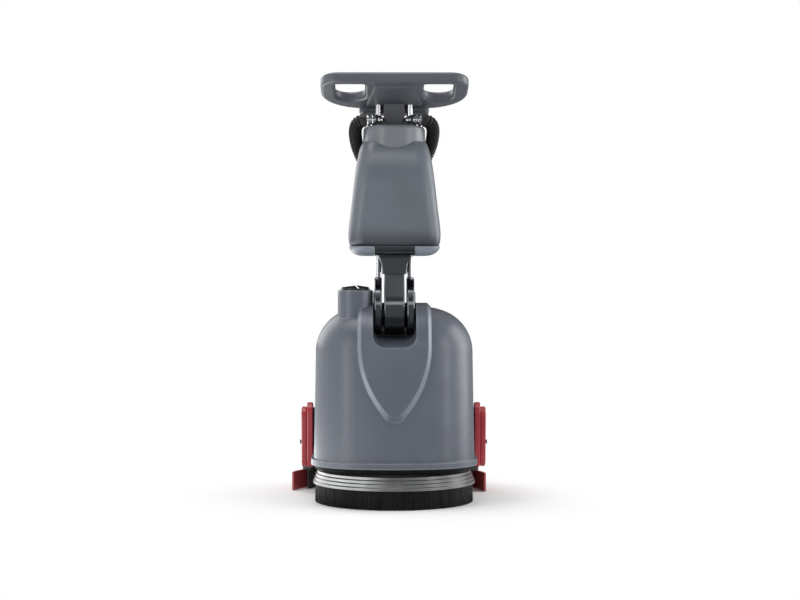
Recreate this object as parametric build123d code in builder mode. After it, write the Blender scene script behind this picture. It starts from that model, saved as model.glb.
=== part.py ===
from build123d import *
from math import cos, radians, sin, tan
import os

# Compact walk-behind floor scrubber with a leaning column, in millimetres.
# +Z is up, the front faces -Y and the origin is the middle of the footprint on the floor.

# Brush, deck and gearmotor
BRUSH_Y = -90.0
BRUSH_R = 174.2
BRISTLE_LENGTH = 41.0
BRISTLE_ROWS = ((171.0, 150), (150.0, 110), (125.0, 90), (98.0, 70))
BRISTLE_WIDE = 4.4
BRISTLE_DEEP = 6.0
BRISTLE_SLICE = 3.0
BLOCK_TOP = 56.0
HUB_R = 39.0
HUB_TOP = 66.0
SHAFT_R = 10.0
SHAFT_TOP = 106.0
DECK_R = 178.0
DECK_TOP = 78.0
DECK_STEP = 3.0
DECK_STEPS = 4
DECK_WALL = 5.6
DECK_SLOPE = 1.8
DECK_SHEET = 2.0
GEARBOX_R = 62.0
GEARBOX_TOP = 128.0
MOTOR_R = 46.0
MOTOR_TOP = 214.0
RUN_GAP = 0.05

# Base body
BODY_FRONT = BRUSH_Y - 172.0
BODY_REAR = BRUSH_Y + 265.0
BODY_HALF = 175.0
BODY_BOTTOM = 86.0
BODY_TOP = 425.0
BODY_DRAFT = 1.0
SHOULDER = 95.0
NOSE_R = 350.0
NOSE_ANGLE = 14.0
REAR_CORNER = 112.0
WALL = 4.0
RIM_OUT = 6.0
RIM_HIGH = 13.0
TANK_FLOOR = 232.0
SEAM_Y = BRUSH_Y + 75.0
SEAM_GAP = 0.6
ARCH_Y = BRUSH_Y + 140.0
ARCH_TOP = 125.0
SOCKET_X = 38.0
SOCKET_Z = 235.0
SOCKET_R = 15.0
SOCKET_FACE = BODY_REAR + 2.0
SOCKET_FLANGE = 4.0
SOCKET_FLANGE_R = 19.0
SOCKET_LONG = 28.0
SOCKET_BORE_R = 9.0
SOCKET_BORE_DEEP = 18.0
LOUVRE_WIDE = 62.0
LOUVRE_HIGH = 5.0
LOUVRE_DEEP = 4.0
LOUVRE_STEP = 11.0
LOUVRE_COUNT = 6

# Raised front panel and hinge pocket
PANEL_RISE = 8.0
PANEL_TOP_RISE = 11.0
PANEL_HALF = 78.0
PANEL_TIP = 174.0
PANEL_TIP_R = 26.0
PANEL_SHOULDER = 345.0
PANEL_BEVEL = 6.5
POCKET_HALF = 46.0
POCKET_SILL = 341.0
POCKET_CORNER = 24.0
POCKET_SLOPE = 11.0

# Column hinge
HINGE_Y = BRUSH_Y - 60.0
HINGE_Z = 430.0
KNUCKLE_R = 60.0
KNUCKLE_HALF = 22.0
EAR_IN = 27.0
EAR_OUT = 43.0
CHEEK_IN = EAR_OUT + 0.3
CHEEK_OUT = POCKET_HALF - 0.6
CHEEK_R = 30.0
CHEEK_START = -95.0
CHEEK_SPAN = 70.0
HINGE_BOLT_R = 6.0
POCKET_R = 67.0
FOOT_SHEET = 3.0
FOOT_GAP = 0.3
FOOT_START = -85.0
FOOT_SPAN = 65.0
EAR_EDGE = 3.0
PANEL_BACK = HINGE_Y + 90.0

# Column
TUBE_X = 34.5
TUBE_Y = BRUSH_Y - 30.0
TUBE_R = 6.5
TUBE_BOTTOM = 440.0
TUBE_TOP = 882.0
EAR_TOP = 492.0
SPINE_HALF = 23.0
SPINE_FRONT = BRUSH_Y - 40.0
SPINE_DEEP = 20.0
SPINE_BOTTOM = 503.0
SPINE_TOP = 872.0
COLLAR_BOTTOM = 499.0
COLLAR_TOP = 538.0
COLLAR_LOW_HALF = 27.0
COLLAR_TOP_HALF = 37.0
COLLAR_HIP_HALF = 29.2
COLLAR_HIP = 521.0
ARM_FRONT = BRUSH_Y - 98.0
ARM_REAR = SPINE_FRONT

# Recovery tank and lid
RTANK_BOTTOM = 539.0
RTANK_RIM_TOP = 557.0
RTANK_REAR = BRUSH_Y - 12.0
RTANK_NECK = 784.0
RTANK_WALL = 3.0
CHANNEL_HALF = 46.0
CHANNEL_FRONT = BRUSH_Y - 48.0
RAIL_HALF = 42.5
RAIL_FRONT = RTANK_REAR - 137.0
RAIL_ROLL = 14.0
RAIL_GAP = 0.5
LID_HALF = 68.5
LID_TOP = 819.0
LID_EDGE = 8.0
LID_CENTRE_Y = BRUSH_Y - 45.0
LID_WALL = 3.0
LID_DRAFT = 1.6
NECK_GAP = 0.5
NECK_SUNK = 24.0
LID_CORNER = 20.0
LID_SKIRT = 758.0
SEAL_HIGH = 6.0
SEAL_R = 15.0
RTANK_RIM_WIDE = 194.0
RTANK_RIM_DEEP = 139.0
RTANK_RIM_CORNER = 34.0
RTANK_ROLL = 26.0
RTANK_ROLL_TURNS = (0.0, 15.0, 30.0, 45.0, 60.0, 75.0, 90.0)
RTANK_SECTIONS = (
    (RTANK_RIM_TOP, 189.0, 130.0, 30.0),
    (577.0, 197.0, 138.0, 34.0),
    (650.0, 183.0, 134.0, 35.0),
    (715.0, 168.0, 129.0, 35.0),
    (748.0, 158.0, 116.0, 35.0),
    (768.0, 149.0, 102.0, 34.0),
    (RTANK_NECK, 137.0, 86.0, 32.0),
)

# Suction elbows and hoses
DOCK_Y = BRUSH_Y - 66.0
DOCK_X = 26.0
ELBOW_Z = 832.0
ELBOW_R = 11.0
ELBOW_BORE = 8.5
FITTING_IN = 41.0
FITTING_OUT = 61.0
DOCK_GAP = 0.5
DOCK_PLATE = 4.0
DOCK_HALF = 40.5
HOSE_R = 14.5
HOSE_GROOVE_R = 12.6
HOSE_BORE_R = 10.5
HOSE_PITCH = 12.0
HOSE_STEADY = (0, 0.75, 0.66)
HOSE_OUT = 86.0
HOSE_WAIST = 52.0
HOSE_FRONT_Y = BRUSH_Y - 2.0
HOSE_BACK_Y = BRUSH_Y + 34.0
CLIP_Z = 598.0
CLIP_HIGH = 16.0
CLIP_GAP = 0.3
REST_Y = BRUSH_Y + 210.0
REST_Z = 450.0
PORT_Y = BRUSH_Y + 98.0
PORT_TOP = 440.0
PORT_R = 17.0
PORT_SPIGOT_R = 12.5
CLIP_WALL = 3.2
CLIP_PLATE = 8.0
HOSE_RINGS = ((0.0, HOSE_GROOVE_R), (0.22, HOSE_GROOVE_R), (0.42, HOSE_R), (0.8, HOSE_R))

# Handle and console
HANDLE_FRONT_Y = BRUSH_Y - 165.0
HANDLE_FRONT_Z = 902.6
HANDLE_TILT = 12.2
HANDLE_HALF = 158.0
HANDLE_DEEP = 178.0
HANDLE_THICK = 23.0
HANDLE_EDGE = 6.5
GRIP_BAR = 21.5
GRIP_WIDE = 64.0
GRIP_DEEP = 105.0
GRIP_X = 95.0
GRIP_CORNER = 8.0
HANDLE_FRONT_CORNER = 40.0
HANDLE_REAR_CORNER = 95.0
BELLY_START = GRIP_BAR + 4.0
BELLY_FRONT_HALF = 42.0
BELLY_REAR_HALF = 62.0
BELLY_DROP = 5.0
BELLY_DRAFT = 20.0
POD_DEEP = 30.0
POD_BACK = 12.0
POD_REAR_HALF = 77.0
POD_DROP = 17.0
POD_CORNER = 12.0
POD_EDGE = 8.0
CONSOLE_HALF = 58.0
CONSOLE_START = 36.0
CONSOLE_END = 158.0
CONSOLE_HIGH = 9.0
CONSOLE_CORNER = 16.0
CONSOLE_DRAFT = 10.0
CONSOLE_EDGE = 2.0
BUTTON_R = 10.0
BUTTON_V = 66.0
BUTTON_STEP = 34.0
BUTTON_GAP = 0.4
BUTTON_SINK = 5.0
BUTTON_PROUD = 3.0
BUTTON_TRAVEL = 2.5
BUTTON_EDGE = 1.4
KEY_V = 122.0
KEY_X = 26.0
KEY_R = 11.0
KEY_PROUD = 4.0
KEY_BOW = 9.0
KEY_BOW_WIDE = 4.0
GAUGE_WIDE = 32.0
GAUGE_HIGH = 15.0
GAUGE_CORNER = 3.0
GAUGE_SINK = 3.0
GAUGE_PROUD = 0.4

# Filler neck and cap
NECK_X = -84.0
NECK_Y = BRUSH_Y - 82.0
NECK_R = 38.0
NECK_BORE = 28.0
NECK_TOP = 464.0
NECK_EDGE = 2.5
CAP_R = 32.0
CAP_PLATE = 3.0
CAP_EDGE = 1.0
CAP_WING_DEEP = 20.0
CAP_LEFT_WING = ((-29.0, 0.0), (-28.5, 2.8), (-1.0, 6.4), (5.0, 0.0))
CAP_RIGHT_WING = ((8.5, 0.0), (1.8, 7.4), (28.5, 3.4), (29.0, 0.0))
CAP_GAP = 0.4
CAP_PLUG = 22.0

# Battery bay and water valve
BAY_Y = BRUSH_Y + 182.0
BATTERY_WIDE = 250.0
BATTERY_DEEP = 100.0
BATTERY_HIGH = 110.0
POST_X = 95.0
POST_R = 7.0
POST_HIGH = 10.0
SHELF_Y = BRUSH_Y + 160.0
SHELF_HALF = 141.0
SHELF_DEEP = 116.0
SHELF_SHEET = 3.0
SHELF_GAP = 4.0
FAN_X = 60.0
FAN_R = 56.0
FAN_HIGH = 50.0
FAN_MOTOR_R = 40.0
FAN_MOTOR_TOP = 110.0
CONTROLLER_X = -80.0
CONTROLLER_WIDE = 110.0
CONTROLLER_DEEP = 120.0
CONTROLLER_HIGH = 40.0
FIN_STEP = 12.0
FIN_COUNT = 8
FIN_HIGH = 14.0
VALVE_Y = BRUSH_Y - 110.0
VALVE_WIDE = 42.0
VALVE_DEEP = 36.0
VALVE_HIGH = 34.0
COIL_R = 15.0
COIL_HIGH = 26.0
SPOUT_R = 7.0
SPOUT_LONG = 19.0

# Wheels
WHEEL_Y = BRUSH_Y + 204.0
WHEEL_R = 45.0
WHEEL_IN = 84.0
WHEEL_OUT = 112.0
WHEEL_HUB_R = 33.0
TYRE_EDGE = 6.0
AXLE_R = 6.0
AXLE_HALF = WHEEL_OUT + 7.0
NUT_R = 10.0
RAIL_X_IN = 72.0
RAIL_X_OUT = 80.0
CHASSIS_BOTTOM = DECK_TOP
FLOOR_BOTTOM = 117.0

# Squeegee and its lifting frame
LIFT_Y = BRUSH_Y + 120.0
LIFT_Z = 118.0
PLATE_IN = 183.0
PLATE_OUT = 196.8
PLATE_TOP = 209.0
PLATE_BOTTOM = 61.0
PLATE_END_R = 22.0
PLATE_BELLY_R = 30.0
PLATE_EDGE = 3.0
BOSS_R = 10.0
BOSS_RISES = (24.0, 60.0)
ARM_IN = 197.2
ARM_OUT = 209.2
ARM_TOP = 199.0
ARM_BOTTOM = 62.0
ARM_END_R = 20.0
ARM_BELLY_R = 28.0
ARM_TAIL_R = 17.0
LIFT_BOLT_R = 3.5
LIFT_HEAD_R = 5.0
LIFT_HEAD = 4.0
LIFT_WASHER = 0.4
SWIVEL_Y = BRUSH_Y + 325.0
BAR_Z = 88.0
BAR_R = 11.0
BAR_SLEEVE = 52.0
SUCTION_R = 17.0
SUCTION_TOP = 140.0
PIPE_FLANGE_R = 20.0
PIPE_FLANGE = 2.5
SQUEEGEE_R = 220.0
SQUEEGEE_ANGLE = 63.0
SQUEEGEE_HALF = 15.0
SQUEEGEE_CORNER = 8.0
SQUEEGEE_PLAY = 0.5
SQUEEGEE_BOTTOM = 43.0
SQUEEGEE_TOP = 54.0
SQUEEGEE_SWING = -3.7
FRONT_BLADE_R = SQUEEGEE_R - 11.0
FRONT_BLADE_ANGLE = 66.0
REAR_BLADE_R = SQUEEGEE_R + 8.0
REAR_BLADE_ANGLE = 77.0
BLADE_THICK = 4.0
BLADE_TIP = 1.0
STRAP = 1.6
STRAP_HIGH = 16.0
STRAP_GAP = 0.1
KNOB_ANGLES = (-58.0, -36.0, -15.0, 15.0, 36.0, 58.0)
KNOB_R = 5.5
KNOB_HIGH = 7.0

finished = []


def keep(piece, label):
    """Name a finished piece and set it aside for writing."""
    piece.part.label = label
    finished.append(piece.part)


def circles(piece, least):
    """The circular edges of a piece that are at least this big."""
    return [e for e in piece.edges().filter_by(GeomType.CIRCLE) if e.radius > least]


def outer_edges(piece):
    """The edges of the faces that look along X, apart from the bolt holes."""
    sharp = piece.faces().filter_by(Axis.X).edges()
    return [e for e in sharp if not (e.geom_type == GeomType.CIRCLE and e.radius < 9)]


def cheek_plane(x):
    """A plane facing +X at the given x, with its own axes along Y and Z."""
    return Plane.YZ.offset(x)


def body_block(grow, bottom, top, shoulder):
    """The drafted body of the base, grown all round, with its top edge rolled over."""
    nose_sine = sin(radians(NOSE_ANGLE))
    corner_r = (BODY_HALF - NOSE_R * nose_sine) / (1.0 - nose_sine)
    with BuildPart() as block:
        with BuildSketch(Plane.XY.offset(bottom)):
            with BuildLine():
                nose = JernArc((0, BODY_FRONT), (1, 0), NOSE_R, NOSE_ANGLE)
                corner = JernArc(nose @ 1, nose % 1, corner_r, 90 - NOSE_ANGLE)
                side = Line(corner @ 1, (BODY_HALF, BODY_REAR - REAR_CORNER))
                back = JernArc(side @ 1, (0, 1), REAR_CORNER, 90)
                Line(back @ 1, (0, BODY_REAR))
                mirror(about=Plane.YZ)
            make_face()
            if grow:
                offset(amount=grow)
        extrude(amount=top - bottom, taper=BODY_DRAFT)
        if shoulder:
            fillet(block.faces().sort_by(Axis.Z)[-1].edges(), radius=shoulder)
    return block.part


body_outer = body_block(0.0, BODY_BOTTOM, BODY_TOP, SHOULDER)
body_inner = body_block(-WALL, BODY_BOTTOM, BODY_TOP - WALL, SHOULDER - WALL)

# The pocket that the column hinge sits in: a round trough with a sloping scoop in front of it
pocket_mouth = Plane(
    origin=(0, BODY_FRONT - 12, POCKET_SILL),
    x_dir=(1, 0, 0),
    z_dir=(0, cos(radians(POCKET_SLOPE)), sin(radians(POCKET_SLOPE))),
)


def pocket(spare):
    """The hollow of the hinge pocket, or the same hollow grown by a wall."""
    with BuildPart() as hollow:
        with BuildSketch(pocket_mouth) as mouth:
            with Locations((0, -140)):
                Rectangle(2 * (POCKET_HALF + spare), 280 + 2 * spare)
            fillet(mouth.vertices().sort_by(Axis.Y)[-2:], radius=POCKET_CORNER)
        extrude(amount=HINGE_Y - BODY_FRONT + 12)
        with BuildSketch(cheek_plane(-POCKET_HALF - spare)):
            with Locations((HINGE_Y, HINGE_Z)):
                Circle(POCKET_R + spare)
        extrude(amount=2 * (POCKET_HALF + spare))
    return hollow.part


# Solution tank: the rounded front body with its rim, raised panel, hinge pocket and inner floor
panel_block = body_block(PANEL_RISE, BODY_BOTTOM, BODY_TOP + PANEL_TOP_RISE, SHOULDER + 3)
panel_plane = Plane.XZ.offset(-BODY_FRONT + 20)
with BuildSketch(panel_plane) as panel_face:
    with BuildLine():
        crown = Line((0, BODY_TOP + 40), (PANEL_HALF, BODY_TOP + 40))
        flank = Line(crown @ 1, (PANEL_HALF, PANEL_SHOULDER))
        TangentArc(flank @ 1, (0, PANEL_TIP), tangent=flank % 1)
        mirror(about=Plane.YZ)
    make_face()
    fillet(panel_face.vertices().sort_by(Axis.Y)[:1], radius=PANEL_TIP_R)
panel_wire = panel_face.sketch.face().outer_wire()


def on_panel_outline(edge):
    """Whether the middle of an edge lies on the panel's outline, ahead of its back cut."""
    middle = edge @ 0.5
    shadow = Vector(middle.X, panel_plane.origin.Y, middle.Z)
    return middle.Y < PANEL_BACK - 1 and panel_wire.distance_to(shadow) < 0.01


with BuildPart() as panel:
    add(panel_face.sketch)
    extrude(amount=PANEL_BACK - BODY_FRONT + 20, dir=(0, 1, 0))
    add(panel_block, mode=Mode.INTERSECT)
    chamfer(panel.edges().filter_by(on_panel_outline), length=PANEL_BEVEL)

with BuildPart() as tank_hollow:
    add(body_inner)
    split(bisect_by=Plane.XZ.offset(-SEAM_Y + WALL), keep=Keep.TOP)
    with BuildSketch(Plane.XY.offset(TANK_FLOOR)):
        with Locations((0, BRUSH_Y)):
            Rectangle(600, 700)
    extrude(amount=WALL, mode=Mode.SUBTRACT)
    add(pocket(WALL), mode=Mode.SUBTRACT)

with BuildPart() as solution_tank:
    add(body_outer)
    add(body_block(RIM_OUT, BODY_BOTTOM, BODY_BOTTOM + RIM_HIGH, 0.0))
    add(panel.part)
    split(bisect_by=Plane.XZ.offset(-SEAM_Y), keep=Keep.TOP)
    add(pocket(0.0), mode=Mode.SUBTRACT)
    add(tank_hollow.part, mode=Mode.SUBTRACT)
    with Locations((NECK_X, NECK_Y, BODY_TOP)):
        Cylinder(NECK_BORE, 80, mode=Mode.SUBTRACT)
keep(solution_tank, "solution_tank")

with BuildPart() as filler_neck:
    with BuildSketch(Plane.XY.offset(NECK_TOP)):
        with Locations((NECK_X, NECK_Y)):
            Circle(NECK_R)
            Circle(NECK_BORE, mode=Mode.SUBTRACT)
    extrude(amount=BODY_TOP - 40 - NECK_TOP)
    fillet(filler_neck.edges().group_by(Axis.Z)[-1], radius=NECK_EDGE)
    add(body_outer, mode=Mode.SUBTRACT)
    add(panel.part, mode=Mode.SUBTRACT)
keep(filler_neck, "filler_neck")

with BuildPart() as filler_cap:
    with Locations((NECK_X, NECK_Y, NECK_TOP + CAP_GAP)):
        Cylinder(CAP_R, CAP_PLATE, align=(Align.CENTER, Align.CENTER, Align.MIN))
        Cylinder(NECK_BORE - CAP_GAP, CAP_PLUG, align=(Align.CENTER, Align.CENTER, Align.MAX))
    fillet(filler_cap.edges().group_by(Axis.Z)[-1], radius=CAP_EDGE)
    for wing in (CAP_LEFT_WING, CAP_RIGHT_WING):
        with BuildSketch(Plane.XZ.offset(-NECK_Y)):
            with Locations((NECK_X, NECK_TOP + CAP_GAP + CAP_PLATE)):
                Polygon(*wing, align=None)
        extrude(amount=CAP_WING_DEEP / 2, both=True)
keep(filler_cap, "filler_cap")

# Rear cover: the back of the same rounded body, open below for the battery bay
with BuildPart() as cover_hollow:
    add(body_inner)
    split(bisect_by=Plane.XZ.offset(-SEAM_Y), keep=Keep.BOTTOM)

with BuildPart() as rear_cover:
    add(body_outer)
    add(body_block(RIM_OUT, BODY_BOTTOM, BODY_BOTTOM + RIM_HIGH, 0.0))
    split(bisect_by=Plane.XZ.offset(-SEAM_Y - SEAM_GAP), keep=Keep.BOTTOM)
    add(cover_hollow.part, mode=Mode.SUBTRACT)
    with Locations((0, ARCH_Y + 200, BODY_BOTTOM)):
        Box(600, 400, 2 * (ARCH_TOP - BODY_BOTTOM), mode=Mode.SUBTRACT)
    with Locations((0, PORT_Y, BODY_TOP)):
        Cylinder(PORT_SPIGOT_R, 40, mode=Mode.SUBTRACT)
    with Locations(Plane.XZ):
        with Locations((SOCKET_X, SOCKET_Z, -BODY_REAR)):
            Cylinder(SOCKET_R, 40, mode=Mode.SUBTRACT)
        with Locations((-SOCKET_X, SOCKET_Z, -BODY_REAR)):
            with GridLocations(0, LOUVRE_STEP, 1, LOUVRE_COUNT):
                Box(LOUVRE_WIDE, LOUVRE_HIGH, 2 * LOUVRE_DEEP, mode=Mode.SUBTRACT)
keep(rear_cover, "rear_cover")

with BuildPart() as charge_socket:
    with BuildSketch(Plane.XZ.offset(-SOCKET_FACE)):
        with Locations((SOCKET_X, SOCKET_Z)):
            Circle(SOCKET_FLANGE_R)
    extrude(amount=SOCKET_FLANGE)
    fillet(charge_socket.edges().group_by(Axis.Y)[-1], radius=1.2)
    with BuildSketch(Plane.XZ.offset(-SOCKET_FACE)):
        with Locations((SOCKET_X, SOCKET_Z)):
            Circle(SOCKET_R)
    extrude(amount=SOCKET_LONG)
    with BuildSketch(Plane.XZ.offset(-SOCKET_FACE)):
        with Locations((SOCKET_X, SOCKET_Z)):
            Circle(SOCKET_BORE_R)
    extrude(amount=SOCKET_BORE_DEEP, mode=Mode.SUBTRACT)
keep(charge_socket, "charge_socket")

with BuildPart() as vacuum_port:
    with Locations((0, PORT_Y, BODY_TOP)):
        Cylinder(PORT_R, PORT_TOP - BODY_TOP, align=(Align.CENTER, Align.CENTER, Align.MIN))
        Cylinder(PORT_SPIGOT_R, WALL, align=(Align.CENTER, Align.CENTER, Align.MAX))
        Cylinder(HOSE_BORE_R, 80, mode=Mode.SUBTRACT)
keep(vacuum_port, "vacuum_port")

with BuildPart() as hose_rest:
    with BuildSketch(Plane.XZ.offset(-REST_Y)):
        with Locations((0, REST_Z)):
            Circle(HOSE_R + CLIP_WALL)
            Rectangle(2 * (HOSE_R + CLIP_WALL), SHOULDER / 2, align=(Align.CENTER, Align.MAX))
            Circle(HOSE_R + CLIP_GAP, mode=Mode.SUBTRACT)
    extrude(amount=CLIP_HIGH / 2, both=True)
    add(body_outer, mode=Mode.SUBTRACT)
keep(hose_rest, "hose_rest")

# Chassis: the brush plate, the raised battery floor behind it and the two axle rails
with BuildPart() as chassis_plate:
    add(body_block(-3.0, CHASSIS_BOTTOM, BODY_BOTTOM, 0.0))
    split(bisect_by=Plane.XZ.offset(-BRUSH_Y - 150), keep=Keep.TOP)
    with Locations((0, BRUSH_Y, CHASSIS_BOTTOM)):
        Cylinder(HUB_R, 40, mode=Mode.SUBTRACT)

with BuildPart() as battery_floor:
    add(body_block(-WALL - 1.0, FLOOR_BOTTOM, ARCH_TOP, 0.0))
    split(bisect_by=Plane.XZ.offset(-ARCH_Y + 6), keep=Keep.BOTTOM)

with BuildPart() as chassis:
    add(chassis_plate.part)
    add(battery_floor.part)
    for side in (-1, 1):
        with BuildSketch(cheek_plane(side * (RAIL_X_IN + RAIL_X_OUT) / 2)):
            with BuildLine():
                Polyline(
                    (BRUSH_Y + 84, BODY_BOTTOM),
                    (BRUSH_Y + 84, FLOOR_BOTTOM - 10),
                    (BRUSH_Y + 94, FLOOR_BOTTOM),
                    (WHEEL_Y + 46, FLOOR_BOTTOM),
                    (WHEEL_Y + 46, WHEEL_R + 14),
                    (WHEEL_Y + 22, WHEEL_R - 14),
                    (WHEEL_Y - 22, WHEEL_R - 14),
                    (WHEEL_Y - 37, CHASSIS_BOTTOM),
                    (BRUSH_Y + 146, BODY_BOTTOM),
                    close=True,
                )
            make_face()
            with Locations((WHEEL_Y, WHEEL_R)):
                Circle(AXLE_R, mode=Mode.SUBTRACT)
        extrude(amount=(RAIL_X_OUT - RAIL_X_IN) / 2, both=True)
keep(chassis, "chassis")

# Brush deck: a polished cast ring with stepped ridges, closed on top
with BuildPart() as brush_deck:
    with BuildSketch(Plane.XZ.offset(-BRUSH_Y)):
        with BuildLine():
            first = Line((HUB_R + 6, BRISTLE_LENGTH), (DECK_R, BRISTLE_LENGTH))
            corner = first @ 1
            for step in range(DECK_STEPS):
                wall = Line(corner, corner + Vector(0, DECK_WALL))
                slope = Line(wall @ 1, (wall @ 1) + Vector(-DECK_STEP, DECK_SLOPE))
                corner = slope @ 1
            roll = Line(corner, (DECK_R - DECK_STEPS * DECK_STEP - 5, DECK_TOP))
            Line(roll @ 1, (HUB_R + 6, DECK_TOP))
            Line((HUB_R + 6, DECK_TOP), first @ 0)
        make_face()
    revolve(axis=Axis((0, BRUSH_Y, 0), (0, 0, 1)))
    with BuildSketch(Plane.XZ.offset(-BRUSH_Y)):
        with BuildLine():
            Polyline(
                (0, BRISTLE_LENGTH),
                (DECK_R - 1.6, BRISTLE_LENGTH),
                (DECK_R - DECK_STEPS * DECK_STEP - 7, DECK_TOP - DECK_SHEET),
                (0, DECK_TOP - DECK_SHEET),
                close=True,
            )
        make_face()
    revolve(axis=Axis((0, BRUSH_Y, 0), (0, 0, 1)), mode=Mode.SUBTRACT)
keep(brush_deck, "brush_deck")

# Brush: strands on a slice of the block, the block itself, and the three-lobed hub that turns it
with BuildPart() as bristles:
    with Locations((0, BRUSH_Y, BRISTLE_LENGTH)):
        Cylinder(BRUSH_R, BRISTLE_SLICE, align=(Align.CENTER, Align.CENTER, Align.MIN))
    with BuildSketch(Plane.XY.offset(BRISTLE_LENGTH)):
        for row_r, count in BRISTLE_ROWS:
            with Locations((0, BRUSH_Y)):
                with PolarLocations(row_r, count):
                    Rectangle(BRISTLE_DEEP, BRISTLE_WIDE)
    extrude(amount=-BRISTLE_LENGTH)
keep(bristles, "brush_bristles")


def coupling_outline(plane, spare):
    """The three-lobed outline that turns the brush."""
    with BuildSketch(plane) as outline:
        with Locations((0, BRUSH_Y)):
            Circle(HUB_R - 10 + spare)
            with PolarLocations(HUB_R - 11, 3):
                Circle(11 + spare)
    return outline.sketch


with BuildPart() as brush_block:
    with Locations((0, BRUSH_Y, BRISTLE_LENGTH + BRISTLE_SLICE)):
        Cylinder(
            BRUSH_R - 10,
            BLOCK_TOP - BRISTLE_LENGTH - BRISTLE_SLICE,
            align=(Align.CENTER, Align.CENTER, Align.MIN),
        )
    fillet(brush_block.edges().group_by(Axis.Z)[-1], radius=4.0)
    add(coupling_outline(Plane.XY.offset(BRISTLE_LENGTH + BRISTLE_SLICE), 0.2))
    extrude(amount=40, mode=Mode.SUBTRACT, dir=(0, 0, 1))
keep(brush_block, "brush_block")

with BuildPart() as drive_hub:
    add(coupling_outline(Plane.XY.offset(BRISTLE_LENGTH + BRISTLE_SLICE), 0.0))
    extrude(amount=HUB_TOP - BRISTLE_LENGTH - BRISTLE_SLICE, dir=(0, 0, 1))
    chamfer(drive_hub.edges().group_by(Axis.Z)[-1].filter_by(GeomType.CIRCLE), length=1.0)
    with Locations((0, BRUSH_Y, HUB_TOP)):
        Cylinder(SHAFT_R, SHAFT_TOP - HUB_TOP, align=(Align.CENTER, Align.CENTER, Align.MIN))
    chamfer(drive_hub.edges().group_by(Axis.Z)[-1], length=1.0)
keep(drive_hub, "drive_hub")

with BuildPart() as brush_gearmotor:
    with Locations((0, BRUSH_Y, BODY_BOTTOM)):
        Cylinder(GEARBOX_R, GEARBOX_TOP - BODY_BOTTOM, align=(Align.CENTER, Align.CENTER, Align.MIN))
        Cylinder(MOTOR_R, MOTOR_TOP - BODY_BOTTOM, align=(Align.CENTER, Align.CENTER, Align.MIN))
    fillet(brush_gearmotor.edges().group_by(Axis.Z)[-1], radius=6.0)
    with BuildSketch(Plane.XY.offset(GEARBOX_TOP)):
        with Locations((0, BRUSH_Y)):
            with PolarLocations(MOTOR_R, 16):
                Rectangle(6, 3)
    extrude(amount=MOTOR_TOP - GEARBOX_TOP - 14)
    with Locations((0, BRUSH_Y, BODY_BOTTOM)):
        Cylinder(SHAFT_R + RUN_GAP, 2 * (SHAFT_TOP - BODY_BOTTOM + 1), mode=Mode.SUBTRACT)
keep(brush_gearmotor, "brush_gearmotor")

# Battery bay: battery, the shelf that bridges it, vacuum motor and controller, and the water valve
shelf_top = ARCH_TOP + BATTERY_HIGH + POST_HIGH + SHELF_GAP + SHELF_SHEET
with BuildPart() as battery:
    with Locations((0, BAY_Y, ARCH_TOP)):
        Box(BATTERY_WIDE, BATTERY_DEEP, BATTERY_HIGH, align=(Align.CENTER, Align.CENTER, Align.MIN))
    fillet(battery.edges().filter_by(Axis.Z), radius=6.0)
    with Locations((-POST_X, BAY_Y, ARCH_TOP + BATTERY_HIGH), (POST_X, BAY_Y, ARCH_TOP + BATTERY_HIGH)):
        Cylinder(POST_R, POST_HIGH, align=(Align.CENTER, Align.CENTER, Align.MIN))
keep(battery, "battery")

with BuildPart() as shelf:
    with BuildSketch(Plane.XZ.offset(-SHELF_Y)):
        with Locations((0, ARCH_TOP)):
            Rectangle(2 * SHELF_HALF, shelf_top - ARCH_TOP, align=(Align.CENTER, Align.MIN))
            Rectangle(
                2 * (SHELF_HALF - SHELF_SHEET),
                shelf_top - SHELF_SHEET - ARCH_TOP,
                align=(Align.CENTER, Align.MIN),
                mode=Mode.SUBTRACT,
            )
    extrude(amount=SHELF_DEEP / 2, both=True)
keep(shelf, "equipment_shelf")

with BuildPart() as vacuum_motor:
    with Locations((FAN_X, SHELF_Y, shelf_top)):
        Cylinder(FAN_R, FAN_HIGH, align=(Align.CENTER, Align.CENTER, Align.MIN))
        Cylinder(FAN_MOTOR_R, FAN_MOTOR_TOP, align=(Align.CENTER, Align.CENTER, Align.MIN))
    fillet(vacuum_motor.edges().group_by(Axis.Z)[-1], radius=8.0)
keep(vacuum_motor, "vacuum_motor")

with BuildPart() as controller:
    with Locations((CONTROLLER_X, SHELF_Y, shelf_top)):
        Box(
            CONTROLLER_WIDE,
            CONTROLLER_DEEP,
            CONTROLLER_HIGH,
            align=(Align.CENTER, Align.CENTER, Align.MIN),
        )
    with Locations((CONTROLLER_X, SHELF_Y, shelf_top + CONTROLLER_HIGH)):
        with GridLocations(FIN_STEP, 0, FIN_COUNT, 1):
            Box(4, CONTROLLER_DEEP - 20, FIN_HIGH, align=(Align.CENTER, Align.CENTER, Align.MIN))
keep(controller, "controller")

with BuildPart() as water_valve:
    with Locations((0, VALVE_Y, TANK_FLOOR)):
        Box(VALVE_WIDE, VALVE_DEEP, VALVE_HIGH, align=(Align.CENTER, Align.CENTER, Align.MAX))
    with Locations((0, VALVE_Y, TANK_FLOOR - VALVE_HIGH)):
        Cylinder(COIL_R, COIL_HIGH, align=(Align.CENTER, Align.CENTER, Align.MAX))
    with BuildSketch(Plane.XZ.offset(-VALVE_Y)):
        with Locations((0, TANK_FLOOR - VALVE_HIGH / 2)):
            Circle(SPOUT_R)
    extrude(amount=-VALVE_DEEP / 2 - SPOUT_LONG)
keep(water_valve, "water_valve")

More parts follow.
